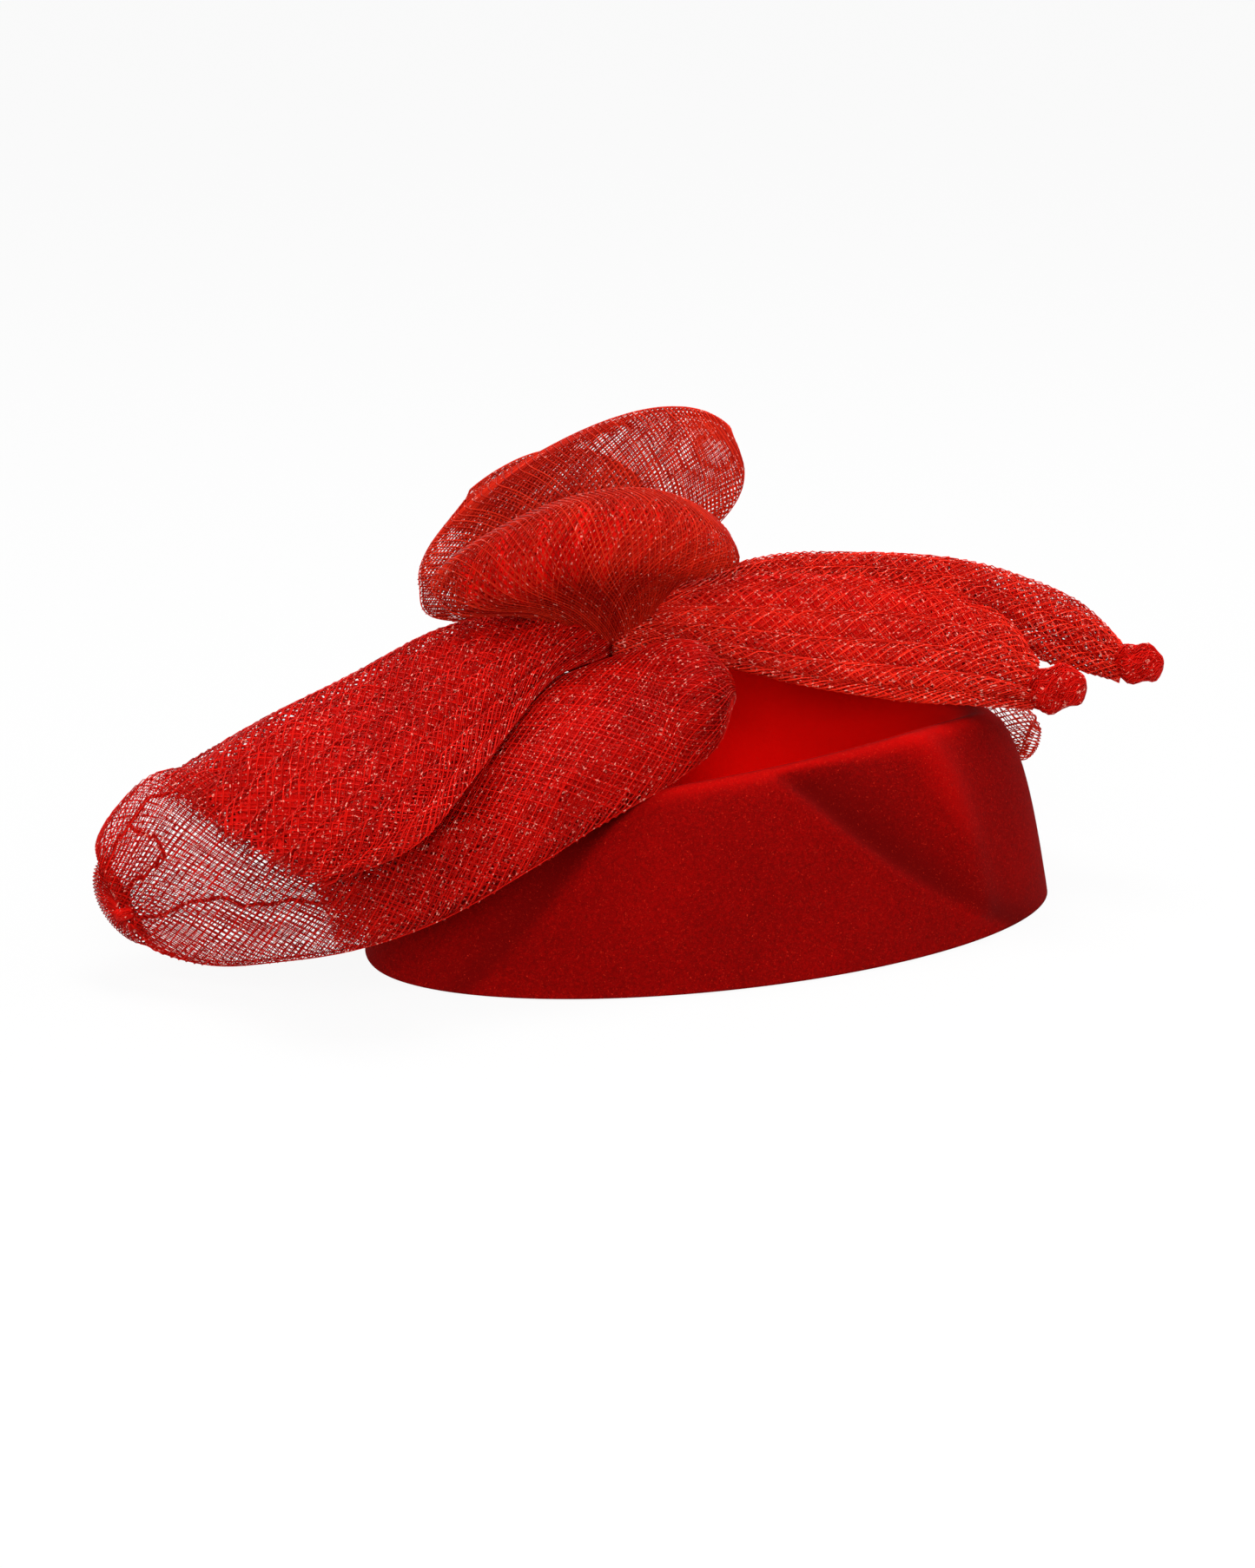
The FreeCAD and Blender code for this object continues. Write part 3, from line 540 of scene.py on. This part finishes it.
def weave_group():
    """Two families of slanting threads on weave millimetres, and how much of the gaps they cover.

    Pleat shade is painted light and shade of the pleats: noise drawn out along the cloth, as its pleats are; dashes
    are short slanting flecks of painted glint where a thread catches the light.
    Each family is a sine of (across plus or minus along) over the pitch. The cover widens the
    threads until no gap is left.
    """
    group, given, result = shader_group(
        "crin_weave", (("Weave", "Vector", None), ("Cover", "Float", 0.5), ("Pitch", "Float", 2.2)),
        (("Thread", "Float"), ("Solid", "Float"), ("PleatShade", "Float"), ("Dash", "Float")))
    # Painted light and shade of the pleats: noise drawn out along the cloth.
    drawn_out = place(group, "ShaderNodeMapping", {"Vector": given.outputs[0], "Scale": (0.02, 0.75, 4.0)})
    pleat_shade = place(group, "ShaderNodeTexNoise", {"Vector": drawn_out.outputs[0], "Scale": 1.0, "Detail": 2.0})
    # Noise cut high for the painted glint dashes.
    short = place(group, "ShaderNodeMapping", {"Vector": given.outputs[0], "Rotation": (0.0, 0.0, 0.6),
                                               "Scale": (0.55, 1.8, 3.0)})
    glint_noise = place(group, "ShaderNodeTexNoise", {"Vector": short.outputs[0], "Scale": 1.0, "Detail": 1.0})
    above = place(group, "ShaderNodeMath", {0: glint_noise.outputs[0], 1: 0.64}, operation="SUBTRACT")
    dash = place(group, "ShaderNodeMath", {0: above.outputs[0], 1: 12.0}, operation="MULTIPLY",
                 use_clamp=True)
    group.links.new(pleat_shade.outputs[0], result.inputs[2])
    group.links.new(dash.outputs[0], result.inputs[3])
    wander = place(group, "ShaderNodeTexNoise", {"Vector": given.outputs[0], "Scale": 0.12, "Detail": 2.0})
    part = place(group, "ShaderNodeSeparateXYZ", {0: given.outputs[0]})
    shifted = place(group, "ShaderNodeMath", {0: wander.outputs[0], 1: 9.0, 2: part.outputs[1]},
                    operation="MULTIPLY_ADD")
    families = []
    for operation in ("ADD", "SUBTRACT"):
        slant = place(group, "ShaderNodeMath", {0: shifted.outputs[0], 1: part.outputs[0]},
                      operation=operation)
        turns = place(group, "ShaderNodeMath", {0: slant.outputs[0], 1: given.outputs[2]}, operation="DIVIDE")
        angle = place(group, "ShaderNodeMath", {0: turns.outputs[0], 1: TURN}, operation="MULTIPLY")
        families.append(place(group, "ShaderNodeMath", {0: angle.outputs[0]}, operation="SINE").outputs[0])
    upper = place(group, "ShaderNodeMath", {0: families[0], 1: families[1]}, operation="MAXIMUM")
    thread = place(group, "ShaderNodeMath", {0: upper.outputs[0], 1: 0.5, 2: 0.5}, operation="MULTIPLY_ADD")
    wide = place(group, "ShaderNodeMath", {0: given.outputs[1], 1: 2.4, 2: upper.outputs[0]},
                 operation="MULTIPLY_ADD")
    solid = place(group, "ShaderNodeMath", {0: wide.outputs[0], 1: 4.0, 2: -4.4}, operation="MULTIPLY_ADD",
                  use_clamp=True)
    group.links.new(thread.outputs[0], result.inputs[0])
    group.links.new(solid.outputs[0], result.inputs[1])
    return group


def nap_group():
    """Short felt nap: two sizes of matted fibre as a shade and a bumped normal."""
    group, given, result = shader_group(
        "felt_nap", (("Place", "Vector", None), ("Depth", "Float", 0.3)),
        (("Shade", "Float"), ("Sparkle", "Float"), ("Normal", "Vector")))
    mat = place(group, "ShaderNodeTexNoise", {"Vector": given.outputs[0], "Scale": 1000.0, "Detail": 4.0,
                                              "Roughness": 0.65, "Distortion": 0.6})
    fibre = place(group, "ShaderNodeTexNoise", {"Vector": given.outputs[0], "Scale": 2800.0, "Detail": 2.0,
                                                "Distortion": 1.5})
    broad = place(group, "ShaderNodeTexNoise", {"Vector": given.outputs[0], "Scale": 38.0, "Detail": 3.0})
    both = place(group, "ShaderNodeMath", {0: mat.outputs[0], 1: fibre.outputs[0]}, operation="ADD")
    shade = place(group, "ShaderNodeMath", {0: both.outputs[0], 1: 0.8, 2: -0.3}, operation="MULTIPLY_ADD")
    total = place(group, "ShaderNodeMath", {0: broad.outputs[0], 1: 0.25, 2: shade.outputs[0]},
                  operation="MULTIPLY_ADD")
    over = place(group, "ShaderNodeMath", {0: fibre.outputs[0], 1: 0.66}, operation="SUBTRACT")
    sparkle = place(group, "ShaderNodeMath", {0: over.outputs[0], 1: 12.0}, operation="MULTIPLY",
                    use_clamp=True)
    bump = place(group, "ShaderNodeBump", {"Strength": given.outputs[1], "Distance": 0.0004,
                                           "Height": both.outputs[0]})
    group.links.new(total.outputs[0], result.inputs[0])
    group.links.new(sparkle.outputs[0], result.inputs[1])
    group.links.new(bump.outputs[0], result.inputs[2])
    return group


def new_material(name, **sockets):
    """A material with a Principled shader whose plain sockets are set."""
    material = bpy.data.materials.new(name)
    material.use_nodes = True
    shader = material.node_tree.nodes["Principled BSDF"]
    for key, value in sockets.items():
        shader.inputs[key.replace("_", " ")].default_value = value
    where = place(material.node_tree, "ShaderNodeTexCoord").outputs["Object"]
    return material, material.node_tree, shader, where


def ramp(tree, factor, stops):
    """Colour ramp through (position, colour) stops."""
    node = place(tree, "ShaderNodeValToRGB", {"Fac": factor})
    band = node.color_ramp
    band.elements[0].position, band.elements[0].color = stops[0][0], (*stops[0][1], 1)
    band.elements[1].position, band.elements[1].color = stops[-1][0], (*stops[-1][1], 1)
    for position, colour in stops[1:-1]:
        band.elements.new(position).color = (*colour, 1)
    return node.outputs[0]


def mix(tree, factor, first, second):
    """Mixes two colours by a factor."""
    node = tree.nodes.new("ShaderNodeMix")
    node.data_type = "RGBA"
    for socket, value in ((node.inputs[0], factor), (node.inputs[6], first), (node.inputs[7], second)):
        if isinstance(value, bpy.types.NodeSocket):
            tree.links.new(value, socket)
        else:
            socket.default_value = value if isinstance(value, float) else (*value, 1)
    return node.outputs[2]


def felt_material(nap):
    """Dense red wool felt: mottled shade, short nap and a few catching fibres, with painted shade in the fold
    valleys and painted highlight on the ridge, the corner and in the sunk crown.
    """
    material, tree, shader, where = new_material("red_felt", Roughness=1.0, Specular_IOR_Level=0.05)
    matted = place(tree, "ShaderNodeGroup", {}, node_tree=nap)
    tree.links.new(where, matted.inputs["Place"])
    matted.inputs["Depth"].default_value = 0.5
    base = ramp(tree, matted.outputs["Shade"], ((0.35, (0.13, 0.0003, 0.0002)), (0.62, (0.22, 0.0004, 0.0002)),
                                                (0.9, (0.34, 0.0009, 0.0004))))
    # The tone attribute is painted light: above 0 it mixes in painted shade (the fold valleys), below 0 painted
    # highlight (ridge, corner and sunk crown).
    painted_light_tone = place(tree, "ShaderNodeAttribute", attribute_name="tone")
    painted_highlight_share = place(tree, "ShaderNodeMath", {0: painted_light_tone.outputs["Fac"], 1: -1.0}, operation="MULTIPLY")
    with_painted_crease_shade = mix(tree, painted_light_tone.outputs["Fac"], base, (0.13, 0.0003, 0.0002))
    with_painted_highlight = mix(tree, painted_highlight_share.outputs[0], with_painted_crease_shade, (0.92, 0.0015, 0.0007))
    lit = mix(tree, matted.outputs["Sparkle"], with_painted_highlight, (0.75, 0.030, 0.012))
    tree.links.new(lit, shader.inputs["Base Color"])
    tree.links.new(matted.outputs["Normal"], shader.inputs["Normal"])
    return material


def crin_material(name, glint, dark, light, painted_glint, cut, scale=900.0):
    """Glossy nylon thread: shade by thread and by place, with bright flecks where it catches light."""
    material, tree, shader, where = new_material(name, Roughness=0.35, Specular_IOR_Level=0.04)
    shine = place(tree, "ShaderNodeGroup", {}, node_tree=glint)
    tree.links.new(where, shine.inputs["Place"])
    shine.inputs["Scale"].default_value = scale
    shine.inputs["Cut"].default_value = cut
    thread = place(tree, "ShaderNodeAttribute", attribute_name="tone")
    both = place(tree, "ShaderNodeMath", {0: thread.outputs["Fac"], 1: 0.5}, operation="MULTIPLY")
    total = place(tree, "ShaderNodeMath", {0: shine.outputs["Shade"], 1: 0.6, 2: both.outputs[0]},
                  operation="MULTIPLY_ADD")
    base = ramp(tree, total.outputs[0], ((0.25, dark), (0.75, light)))
    lit = mix(tree, shine.outputs["Fleck"], base, painted_glint)
    tree.links.new(lit, shader.inputs["Base Color"])
    return material


def packed_material(name, glint, weave, gap_painted_shade, bright, painted_glint, cut):
    """Packed crin folds: threads over an inside of painted shade, painted light and shade along the pleats, gaps
    where the folds thin out, and flecks of painted glint.
    """
    material, tree, shader, where = new_material(name, Roughness=0.45, Specular_IOR_Level=0.04)
    woven = place(tree, "ShaderNodeGroup", {}, node_tree=weave)
    places = place(tree, "ShaderNodeAttribute", attribute_name="weave")
    cover = place(tree, "ShaderNodeAttribute", attribute_name="tone")
    tree.links.new(places.outputs["Vector"], woven.inputs["Weave"])
    tree.links.new(cover.outputs["Fac"], woven.inputs["Cover"])
    shine = place(tree, "ShaderNodeGroup", {}, node_tree=glint)
    tree.links.new(where, shine.inputs["Place"])
    shine.inputs["Cut"].default_value = cut
    both = place(tree, "ShaderNodeMath", {0: woven.outputs["Thread"], 1: 0.35}, operation="MULTIPLY")
    # Painted light and shade: streaks along the pleats, and darker gaps between the threads.
    pleat_shade_and_threads = place(tree, "ShaderNodeMath", {0: woven.outputs["PleatShade"], 1: 1.6, 2: both.outputs[0]},
                    operation="MULTIPLY_ADD")
    total = place(tree, "ShaderNodeMath", {0: shine.outputs["Shade"], 1: 0.5, 2: pleat_shade_and_threads.outputs[0]},
                  operation="MULTIPLY_ADD")
    base = ramp(tree, total.outputs[0], ((0.92, gap_painted_shade), (1.48, bright)))
    caught = place(tree, "ShaderNodeMath", {0: shine.outputs["Fleck"], 1: woven.outputs["Dash"]},
                   operation="MAXIMUM")
    lit = mix(tree, caught.outputs[0], base, painted_glint)
    bump = place(tree, "ShaderNodeBump", {"Strength": 0.7, "Distance": 0.0005,
                                          "Height": woven.outputs["Thread"]})
    tree.links.new(lit, shader.inputs["Base Color"])
    tree.links.new(woven.outputs["Solid"], shader.inputs["Alpha"])
    tree.links.new(bump.outputs[0], shader.inputs["Normal"])
    return material


def ribbon_material():
    """Petersham: ribs a millimetre apart that cross the band, with a fine weave between them."""
    material, tree, shader, where = new_material("petersham", Roughness=0.6, Specular_IOR_Level=0.3,
                                                 Sheen_Weight=0.2)
    split = place(tree, "ShaderNodeSeparateXYZ", {0: where})
    angle = place(tree, "ShaderNodeMath", {0: split.outputs[1], 1: split.outputs[0]}, operation="ARCTAN2")
    rib = place(tree, "ShaderNodeMath", {0: angle.outputs[0], 1: 480.0}, operation="MULTIPLY")
    wave = place(tree, "ShaderNodeMath", {0: rib.outputs[0]}, operation="SINE")
    row = place(tree, "ShaderNodeMath", {0: split.outputs[2], 1: 9000.0}, operation="MULTIPLY")
    pick = place(tree, "ShaderNodeMath", {0: row.outputs[0]}, operation="SINE")
    weave = place(tree, "ShaderNodeMath", {0: pick.outputs[0], 1: 0.3, 2: wave.outputs[0]},
                  operation="MULTIPLY_ADD")
    base = ramp(tree, weave.outputs[0], ((0.0, (0.16, 0.002, 0.002)), (1.0, (0.36, 0.006, 0.004))))
    bump = place(tree, "ShaderNodeBump", {"Strength": 0.6, "Distance": 0.0003, "Height": weave.outputs[0]})
    tree.links.new(base, shader.inputs["Base Color"])
    tree.links.new(bump.outputs[0], shader.inputs["Normal"])
    return material


def sewing_thread_material(name, dark, light):
    """Twisted thread: fine slanting ply as shade and bump."""
    material, tree, shader, where = new_material(name, Roughness=0.7, Specular_IOR_Level=0.3)
    ply = place(tree, "ShaderNodeTexWave", {"Vector": where, "Scale": 700.0, "Distortion": 2.0,
                                            "Detail": 2.0}, bands_direction="DIAGONAL")
    base = ramp(tree, ply.outputs["Fac"], ((0.1, dark), (0.9, light)))
    bump = place(tree, "ShaderNodeBump", {"Strength": 0.5, "Distance": 0.0002, "Height": ply.outputs["Fac"]})
    tree.links.new(base, shader.inputs["Base Color"])
    tree.links.new(bump.outputs[0], shader.inputs["Normal"])
    return material


def steel_material(name, roughness, stretch):
    """Bright steel with drawing lines along X and slight tarnish."""
    material, tree, shader, where = new_material(name, Metallic=1.0, Roughness=roughness)
    lines = place(tree, "ShaderNodeMapping", {"Vector": where, "Scale": stretch})
    drawn = place(tree, "ShaderNodeTexNoise", {"Vector": lines.outputs[0], "Scale": 900.0, "Detail": 3.0})
    stain = place(tree, "ShaderNodeTexNoise", {"Vector": where, "Scale": 90.0, "Detail": 4.0})
    base = ramp(tree, stain.outputs[0], ((0.3, (0.50, 0.49, 0.47)), (0.7, (0.72, 0.72, 0.73))))
    rough = place(tree, "ShaderNodeMath", {0: drawn.outputs[0], 1: 0.25, 2: roughness - 0.1},
                  operation="MULTIPLY_ADD")
    bump = place(tree, "ShaderNodeBump", {"Strength": 0.15, "Distance": 0.0001, "Height": drawn.outputs[0]})
    tree.links.new(base, shader.inputs["Base Color"])
    tree.links.new(rough.outputs[0], shader.inputs["Roughness"])
    tree.links.new(bump.outputs[0], shader.inputs["Normal"])
    return material


nap = nap_group()
glint = glint_group()
red_felt = felt_material(nap)
weave = weave_group()
# Colour of the painted glints on crin.
PAINTED_GLINT = (1.0, 0.34, 0.26)
sheer_crin = crin_material("sheer_crin", glint, (0.42, 0.006, 0.003), (0.80, 0.030, 0.010), PAINTED_GLINT, 0.66)
dense_crin = crin_material("dense_crin", glint, (0.34, 0.002, 0.001), (0.76, 0.008, 0.004), PAINTED_GLINT, 0.64)
bright_crin = crin_material("bright_crin", glint, (0.50, 0.006, 0.003), (0.98, 0.030, 0.012), PAINTED_GLINT, 0.62)
# Two copies of one packed cloth that differ by painted light: the first is lighter, painted light for the top
# loops, the second darker, painted shade for the deep inside of the long loop, the tails, the knots and the
# binding.
folded_crin_painted_light = packed_material("folded_crin_painted_light", glint, weave, (0.34, 0.0006, 0.0003), (0.84, 0.004, 0.002),
                              PAINTED_GLINT, 0.68)
packed_crin_painted_shade = packed_material("packed_crin_painted_shade", glint, weave, (0.12, 0.0003, 0.0002), (0.62, 0.003, 0.0015),
                              PAINTED_GLINT, 0.68)
petersham = ribbon_material()
red_thread = sewing_thread_material("red_thread", (0.22, 0.002, 0.002), (0.50, 0.010, 0.008))
wire_wrap = sewing_thread_material("wrapped_wire", (0.20, 0.002, 0.002), (0.42, 0.012, 0.010))
comb_wire = steel_material("comb_wire", 0.22, (1.0, 0.2, 1.0))
clip_steel = steel_material("clip_steel", 0.32, (0.08, 1.0, 1.0))

for node, material in (("rim_wire", wire_wrap), ("head_ribbon", petersham), ("trim_pad", red_felt),
                       ("trim_stitches", red_thread), ("comb_stitches", red_thread),
                       ("clip_stitches", red_thread), ("comb_bar", comb_wire), ("comb_teeth", comb_wire),
                       ("clip_base", clip_steel), ("clip_jaw", clip_steel), ("clip_pin", comb_wire),
                       ("clip_spring", comb_wire)):
    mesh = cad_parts[node].data
    mesh.materials.clear()
    mesh.materials.append(material)


# ---------------------------------------------------------------- pieces

make_piece("felt_base", [felt_base()], (red_felt,), replaces=("felt_shell",))


def fade(value, full, none):
    """1 up to full, falling smoothly to 0 at none."""
    return smooth(value, none, full)


LOOP_CELL, LOOP_THREAD = 2.1, 0.175


def top_loop(name, stations, seed, node, nets, dense, front_edge):
    """Standing loop: open braided tubes with folded rims, over folds that fill its gathered foot.

    Dense is the share along up to which the folds cover fully, and the share where they end; the
    front edge is how far across they keep clear of that edge.
    """
    outer = crin_tube(stations)
    parts = net(outer, seed, waver=0.03, cell=LOOP_CELL, radius=LOOP_THREAD)
    for thick, last in nets:
        parts += net(crin_tube(stations, thick=thick), seed, last=last, waver=0.03, cell=LOOP_CELL,
                     radius=LOOP_THREAD)
    inner = crin_tube(stations, thick=0.55, pleats=9, fold=0.9, last=dense[1], inset=0.05)
    along, across = spread(inner)
    parts.append(cloth(inner, fade(along * dense[1], *dense) * fade(-across, front_edge, 1.0)))
    parts.append(rim(outer, 1.0, 0.2, strands=2, step=0.006, seed=seed))
    parts.append(lengthwise(outer, (0.0, 0.498, 0.504), 0.2))
    make_piece(name, parts, (sheer_crin, folded_crin_painted_light), replaces=(node,))


def pleated_tail(name, stations, seed, node, pleats, fold, cover, thread, ragged=0.0, nets=2):
    """Flattened tube laid in lengthwise pleats: nets of the given thread over packed inner folds."""
    parts = []
    for k in range(nets):
        tube = crin_tube(stations, thick=1 - 0.3 * k, pleats=pleats, fold=fold, shift=0.6 * k)
        parts += net(tube, seed + k, ragged=ragged, waver=0.15, step=3.2)
    inner = crin_tube(stations, thick=0.5, pleats=pleats, fold=fold, shift=0.3, around=180, inset=0.03)
    parts.append(cloth(inner, cover(*spread(inner))))
    make_piece(name, parts, (thread, packed_crin_painted_shade), replaces=(node,))


top_loop("front_loop_net", FRONT_TOP_LOOP, 1, "front_top_loop", ((0.75, 1.0),), (0.45, 1.0), 0.65)
top_loop("rear_loop_net", REAR_TOP_LOOP, 2, "rear_top_loop", ((0.75, 1.0),), (0.15, 0.5), 0.6)
top_loop("middle_loop_net", MIDDLE_TOP_LOOP, 3, "middle_top_loop", ((0.5, 1.0),), (0.2, 0.8), 0.7)


def long_loop():
    """Long drooping loop: nets all round, packed folds in its near part and a bare sheer tip."""
    tube = crin_tube(LONG_LOOP)
    packed_end = 0.62
    inner = crin_tube(LONG_LOOP, thick=0.5, pleats=4, fold=1.8, last=packed_end, inset=0.03, around=240)
    along, across = spread(inner)
    inside = crin_tube(LONG_LOOP, thick=0.3, rows=300)
    parts = net(tube, 5, waver=0.05, cell=2.4, step=3.0, radius=0.17)
    parts += net(crin_tube(LONG_LOOP, thick=0.8), 5, first=0.56, waver=0.05, cell=2.4, step=3.0, radius=0.13)
    parts += net(crin_tube(LONG_LOOP, thick=0.7, pleats=4, fold=1.2), 6, last=packed_end, waver=0.2, step=3.0)
    parts.append(cloth(inner, (0.35 + 0.65 * fade(along, 0.5, 0.98)) * fade(np.abs(across), 0.7, 1.02)))
    parts += [drawn_thread(inside, places) for places in TIP_THREADS]
    parts.append(lengthwise(tube, (0.0, 0.496, 0.504), 0.2))
    make_piece("long_loop_net", parts, (dense_crin, packed_crin_painted_shade), replaces=("long_loop",))


# drawn selvedge threads in the long loop's tip: (share along, share across)
TIP_THREADS = (
    ((0.99, -0.6), (0.78, -0.3), (0.68, -0.37), (0.575, -0.42), (0.55, -0.2)),
    ((0.99, -0.6), (0.94, 0.1), (0.87, 0.5), (0.82, 0.72), (0.72, 0.78)),
    ((0.97, -0.5), (0.85, 0.02), (0.80, 0.2), (0.84, 0.65)),
)


def drawn_thread(surface, places, steps=160, radius=0.55):
    """Pulled thread that wavers across a tube's upper wall through chosen places."""
    rows = np.array(places, float)
    path = flow(rows, np.linspace(0, len(rows) - 1.001, steps))
    t = np.linspace(0, 1, steps)
    path[:, 1] += 0.025 * np.sin(t * 26) + 0.015 * np.sin(t * 57 + 1)
    along, around = path[None, :, 0], (1 - path[None, :, 1]) / 4
    square = at(normals_of(surface), along, around)
    return cords(at(surface, along, around), square, radius, sides=5, tone=0.0)


long_loop()
pleated_tail("left_tail_net", LEFT_TAIL, 20, "left_tail", 8, 2.1,
             lambda along, across: (fade(along, 0.93, 1.0) * fade(across, 0.62, 0.95)
                                    * fade(-across, 0.45, 1.0)),
             dense_crin, ragged=0.05)
pleated_tail("near_tail_net", NEAR_TAIL, 30, "near_tail", 5, 1.5,
             lambda along, across: fade(-across, 0.55, 1.05) * (0.65 + 0.35 * fade(along, 0.4, 0.8)),
             bright_crin)
pleated_tail("far_tail_net", FAR_TAIL, 40, "far_tail", 4, 1.2,
             lambda along, across: fade(across, 0.6, 1.05) * (0.5 + 0.5 * fade(along, 0.3, 0.8)),
             bright_crin)
make_piece("right_loop_net", net(crin_tube(RIGHT_LOOP), 50, waver=0.05), (sheer_crin,),
                    replaces=("right_loop",))


def tied_knot(name, node, way, seed):
    """Knot of the tube itself: packed cloth inside, and its own net wound tightly over it."""
    core = knot_skin(node, way, swell=0.9)
    parts = [cloth(core, 1.0)]
    for k, lean in enumerate((1.4, 0.6)):
        parts += net(knot_skin(node, way, swell=0.95 + 0.04 * k), seed + k, cell=1.5, lean=lean, step=1.0,
                     waver=0.6)
    return make_piece(name, parts, (dense_crin, packed_crin_painted_shade), replaces=(node,))


tied_knot("near_knot", "near_tail_knot", NEAR_KNOT_WAY, 60)
tied_knot("far_knot", "far_tail_knot", FAR_KNOT_WAY, 64)
tied_knot("tip_tie", "loop_tip_tie", (1.0, 0.0, 0.0), 68)


def binding():
    """Crin wound around the middle of the bow: a capsule drawn in by its turns."""
    half, radius = 17.0, 5.5
    centre = (np.array(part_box("centre_binding")[0]) + np.array(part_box("centre_binding")[1])) / 2 / MM
    lean = np.radians(67.0)
    way = np.array((np.cos(lean), np.sin(lean), 0.0))
    across, up = np.array((np.sin(lean), -np.cos(lean), 0.0)), np.array((0.0, 0.0, 1.0))
    a = np.linspace(0.02, np.pi - 0.02, 120)[:, None]
    b = TURN * np.arange(72) / 72
    along = -np.cos(a) * (half + radius) + 0 * b
    wrinkle = 1 - 0.05 + 0.05 * np.sin(along * 1.9 + 0.7 * np.sin(b))
    past = np.maximum(np.abs(along) - half, 0) / radius
    wide = radius * np.minimum(1, np.sqrt(np.maximum(1 - past ** 2, 0)))
    wide = wide * wrinkle
    return (centre + along[..., None] * way + (wide * np.cos(b))[..., None] * across
            + (wide * np.sin(b))[..., None] * up)


bound = binding()
inside = bound.mean(1, keepdims=True) * 0.08 + bound * 0.92
make_piece("binding_net", [cloth(inside, 1.0)] + net(bound, 70, cell=1.6, step=1.2),
           (dense_crin, packed_crin_painted_shade), replaces=("centre_binding",))


# ---------------------------------------------------------------- stage

def studio():
    """Pale floor, white surroundings, soft overhead light and the camera."""
    bpy.ops.mesh.primitive_plane_add(size=8.0, location=(0, 0, -0.0004))
    floor = bpy.context.object
    floor.name = "floor"
    material, tree, shader, _ = new_material("pale_floor", Roughness=0.9, Base_Color=(0.8, 0.8, 0.8, 1))
    seen = place(tree, "ShaderNodeLightPath")
    strength = place(tree, "ShaderNodeMath", {0: seen.outputs["Is Camera Ray"], 1: 0.3, 2: 0.7},
                     operation="MULTIPLY_ADD")
    glow = place(tree, "ShaderNodeEmission", {"Color": (1, 1, 1, 1), "Strength": strength.outputs[0]})
    shown = place(tree, "ShaderNodeMath", {0: seen.outputs["Is Camera Ray"], 1: 0.92,
                                           2: seen.outputs["Is Diffuse Ray"]}, operation="MULTIPLY_ADD")
    both = place(tree, "ShaderNodeMixShader", {0: shown.outputs[0], 1: shader.outputs[0], 2: glow.outputs[0]})
    under = place(tree, "ShaderNodeNewGeometry")
    clear = place(tree, "ShaderNodeBsdfTransparent")
    sided = place(tree, "ShaderNodeMixShader", {0: under.outputs["Backfacing"], 1: both.outputs[0],
                                                2: clear.outputs[0]})
    tree.links.new(sided.outputs[0], tree.nodes["Material Output"].inputs["Surface"])
    floor.data.materials.append(material)
    world = bpy.data.worlds.new("white_room")
    bpy.context.scene.world = world
    world.use_nodes = True
    tree = world.node_tree
    background = tree.nodes["Background"]
    seen = place(tree, "ShaderNodeLightPath")
    strength = place(tree, "ShaderNodeMath",
                     {0: seen.outputs["Is Camera Ray"], 1: seen.outputs["Is Glossy Ray"]},
                     operation="MAXIMUM")
    strength = place(tree, "ShaderNodeMath", {0: strength.outputs[0], 1: 0.55, 2: 0.45},
                     operation="MULTIPLY_ADD")
    background.inputs["Color"].default_value = (1, 1, 1, 1)
    tree.links.new(strength.outputs[0], background.inputs["Strength"])
    for name, spot, size, power in (("key", (-0.25, -0.80, 0.9), 0.45, 3.5),
                                     ("fill", (0.9, -0.5, 0.6), 0.6, 2.5),
                                    ("front", (-0.48, -1.05, 0.50), 0.5, 4.0),
                                     ("top", (0.1, 0.2, 1.3), 0.6, 9.0),
                                    ("side", (-1.1, -0.5, 0.3), 0.6, 2.2)):
        lamp = bpy.data.lights.new(name, "AREA")
        lamp.size = size
        lamp.energy = power
        holder = bpy.data.objects.new(name, lamp)
        holder.location = spot
        holder.rotation_euler = (-Vector(spot)).to_track_quat("-Z", "Y").to_euler()
        bpy.context.scene.collection.objects.link(holder)


def aim_camera():
    """Camera to the left of the front and a little above, square to the middle of the frame."""
    spot = Vector((-0.3556, -0.7748, 0.2991))
    bearing, height = np.radians(-23.0), np.radians(17.0)
    back = Vector((np.sin(bearing) * np.cos(height), -np.cos(bearing) * np.cos(height), np.sin(height)))
    right = Vector((np.cos(bearing), np.sin(bearing), 0))
    up = back.cross(right)
    camera = bpy.data.cameras.new("camera")
    camera.lens = 75.35
    camera.sensor_width = 36
    camera.clip_start = 0.05
    holder = bpy.data.objects.new("camera", camera)
    turn = Matrix((right, up, back)).transposed().to_4x4()
    holder.matrix_world = Matrix.Translation(spot) @ turn
    bpy.context.scene.collection.objects.link(holder)
    bpy.context.scene.camera = holder


studio()
aim_camera()
bpy.context.scene.view_settings.view_transform = "Standard"
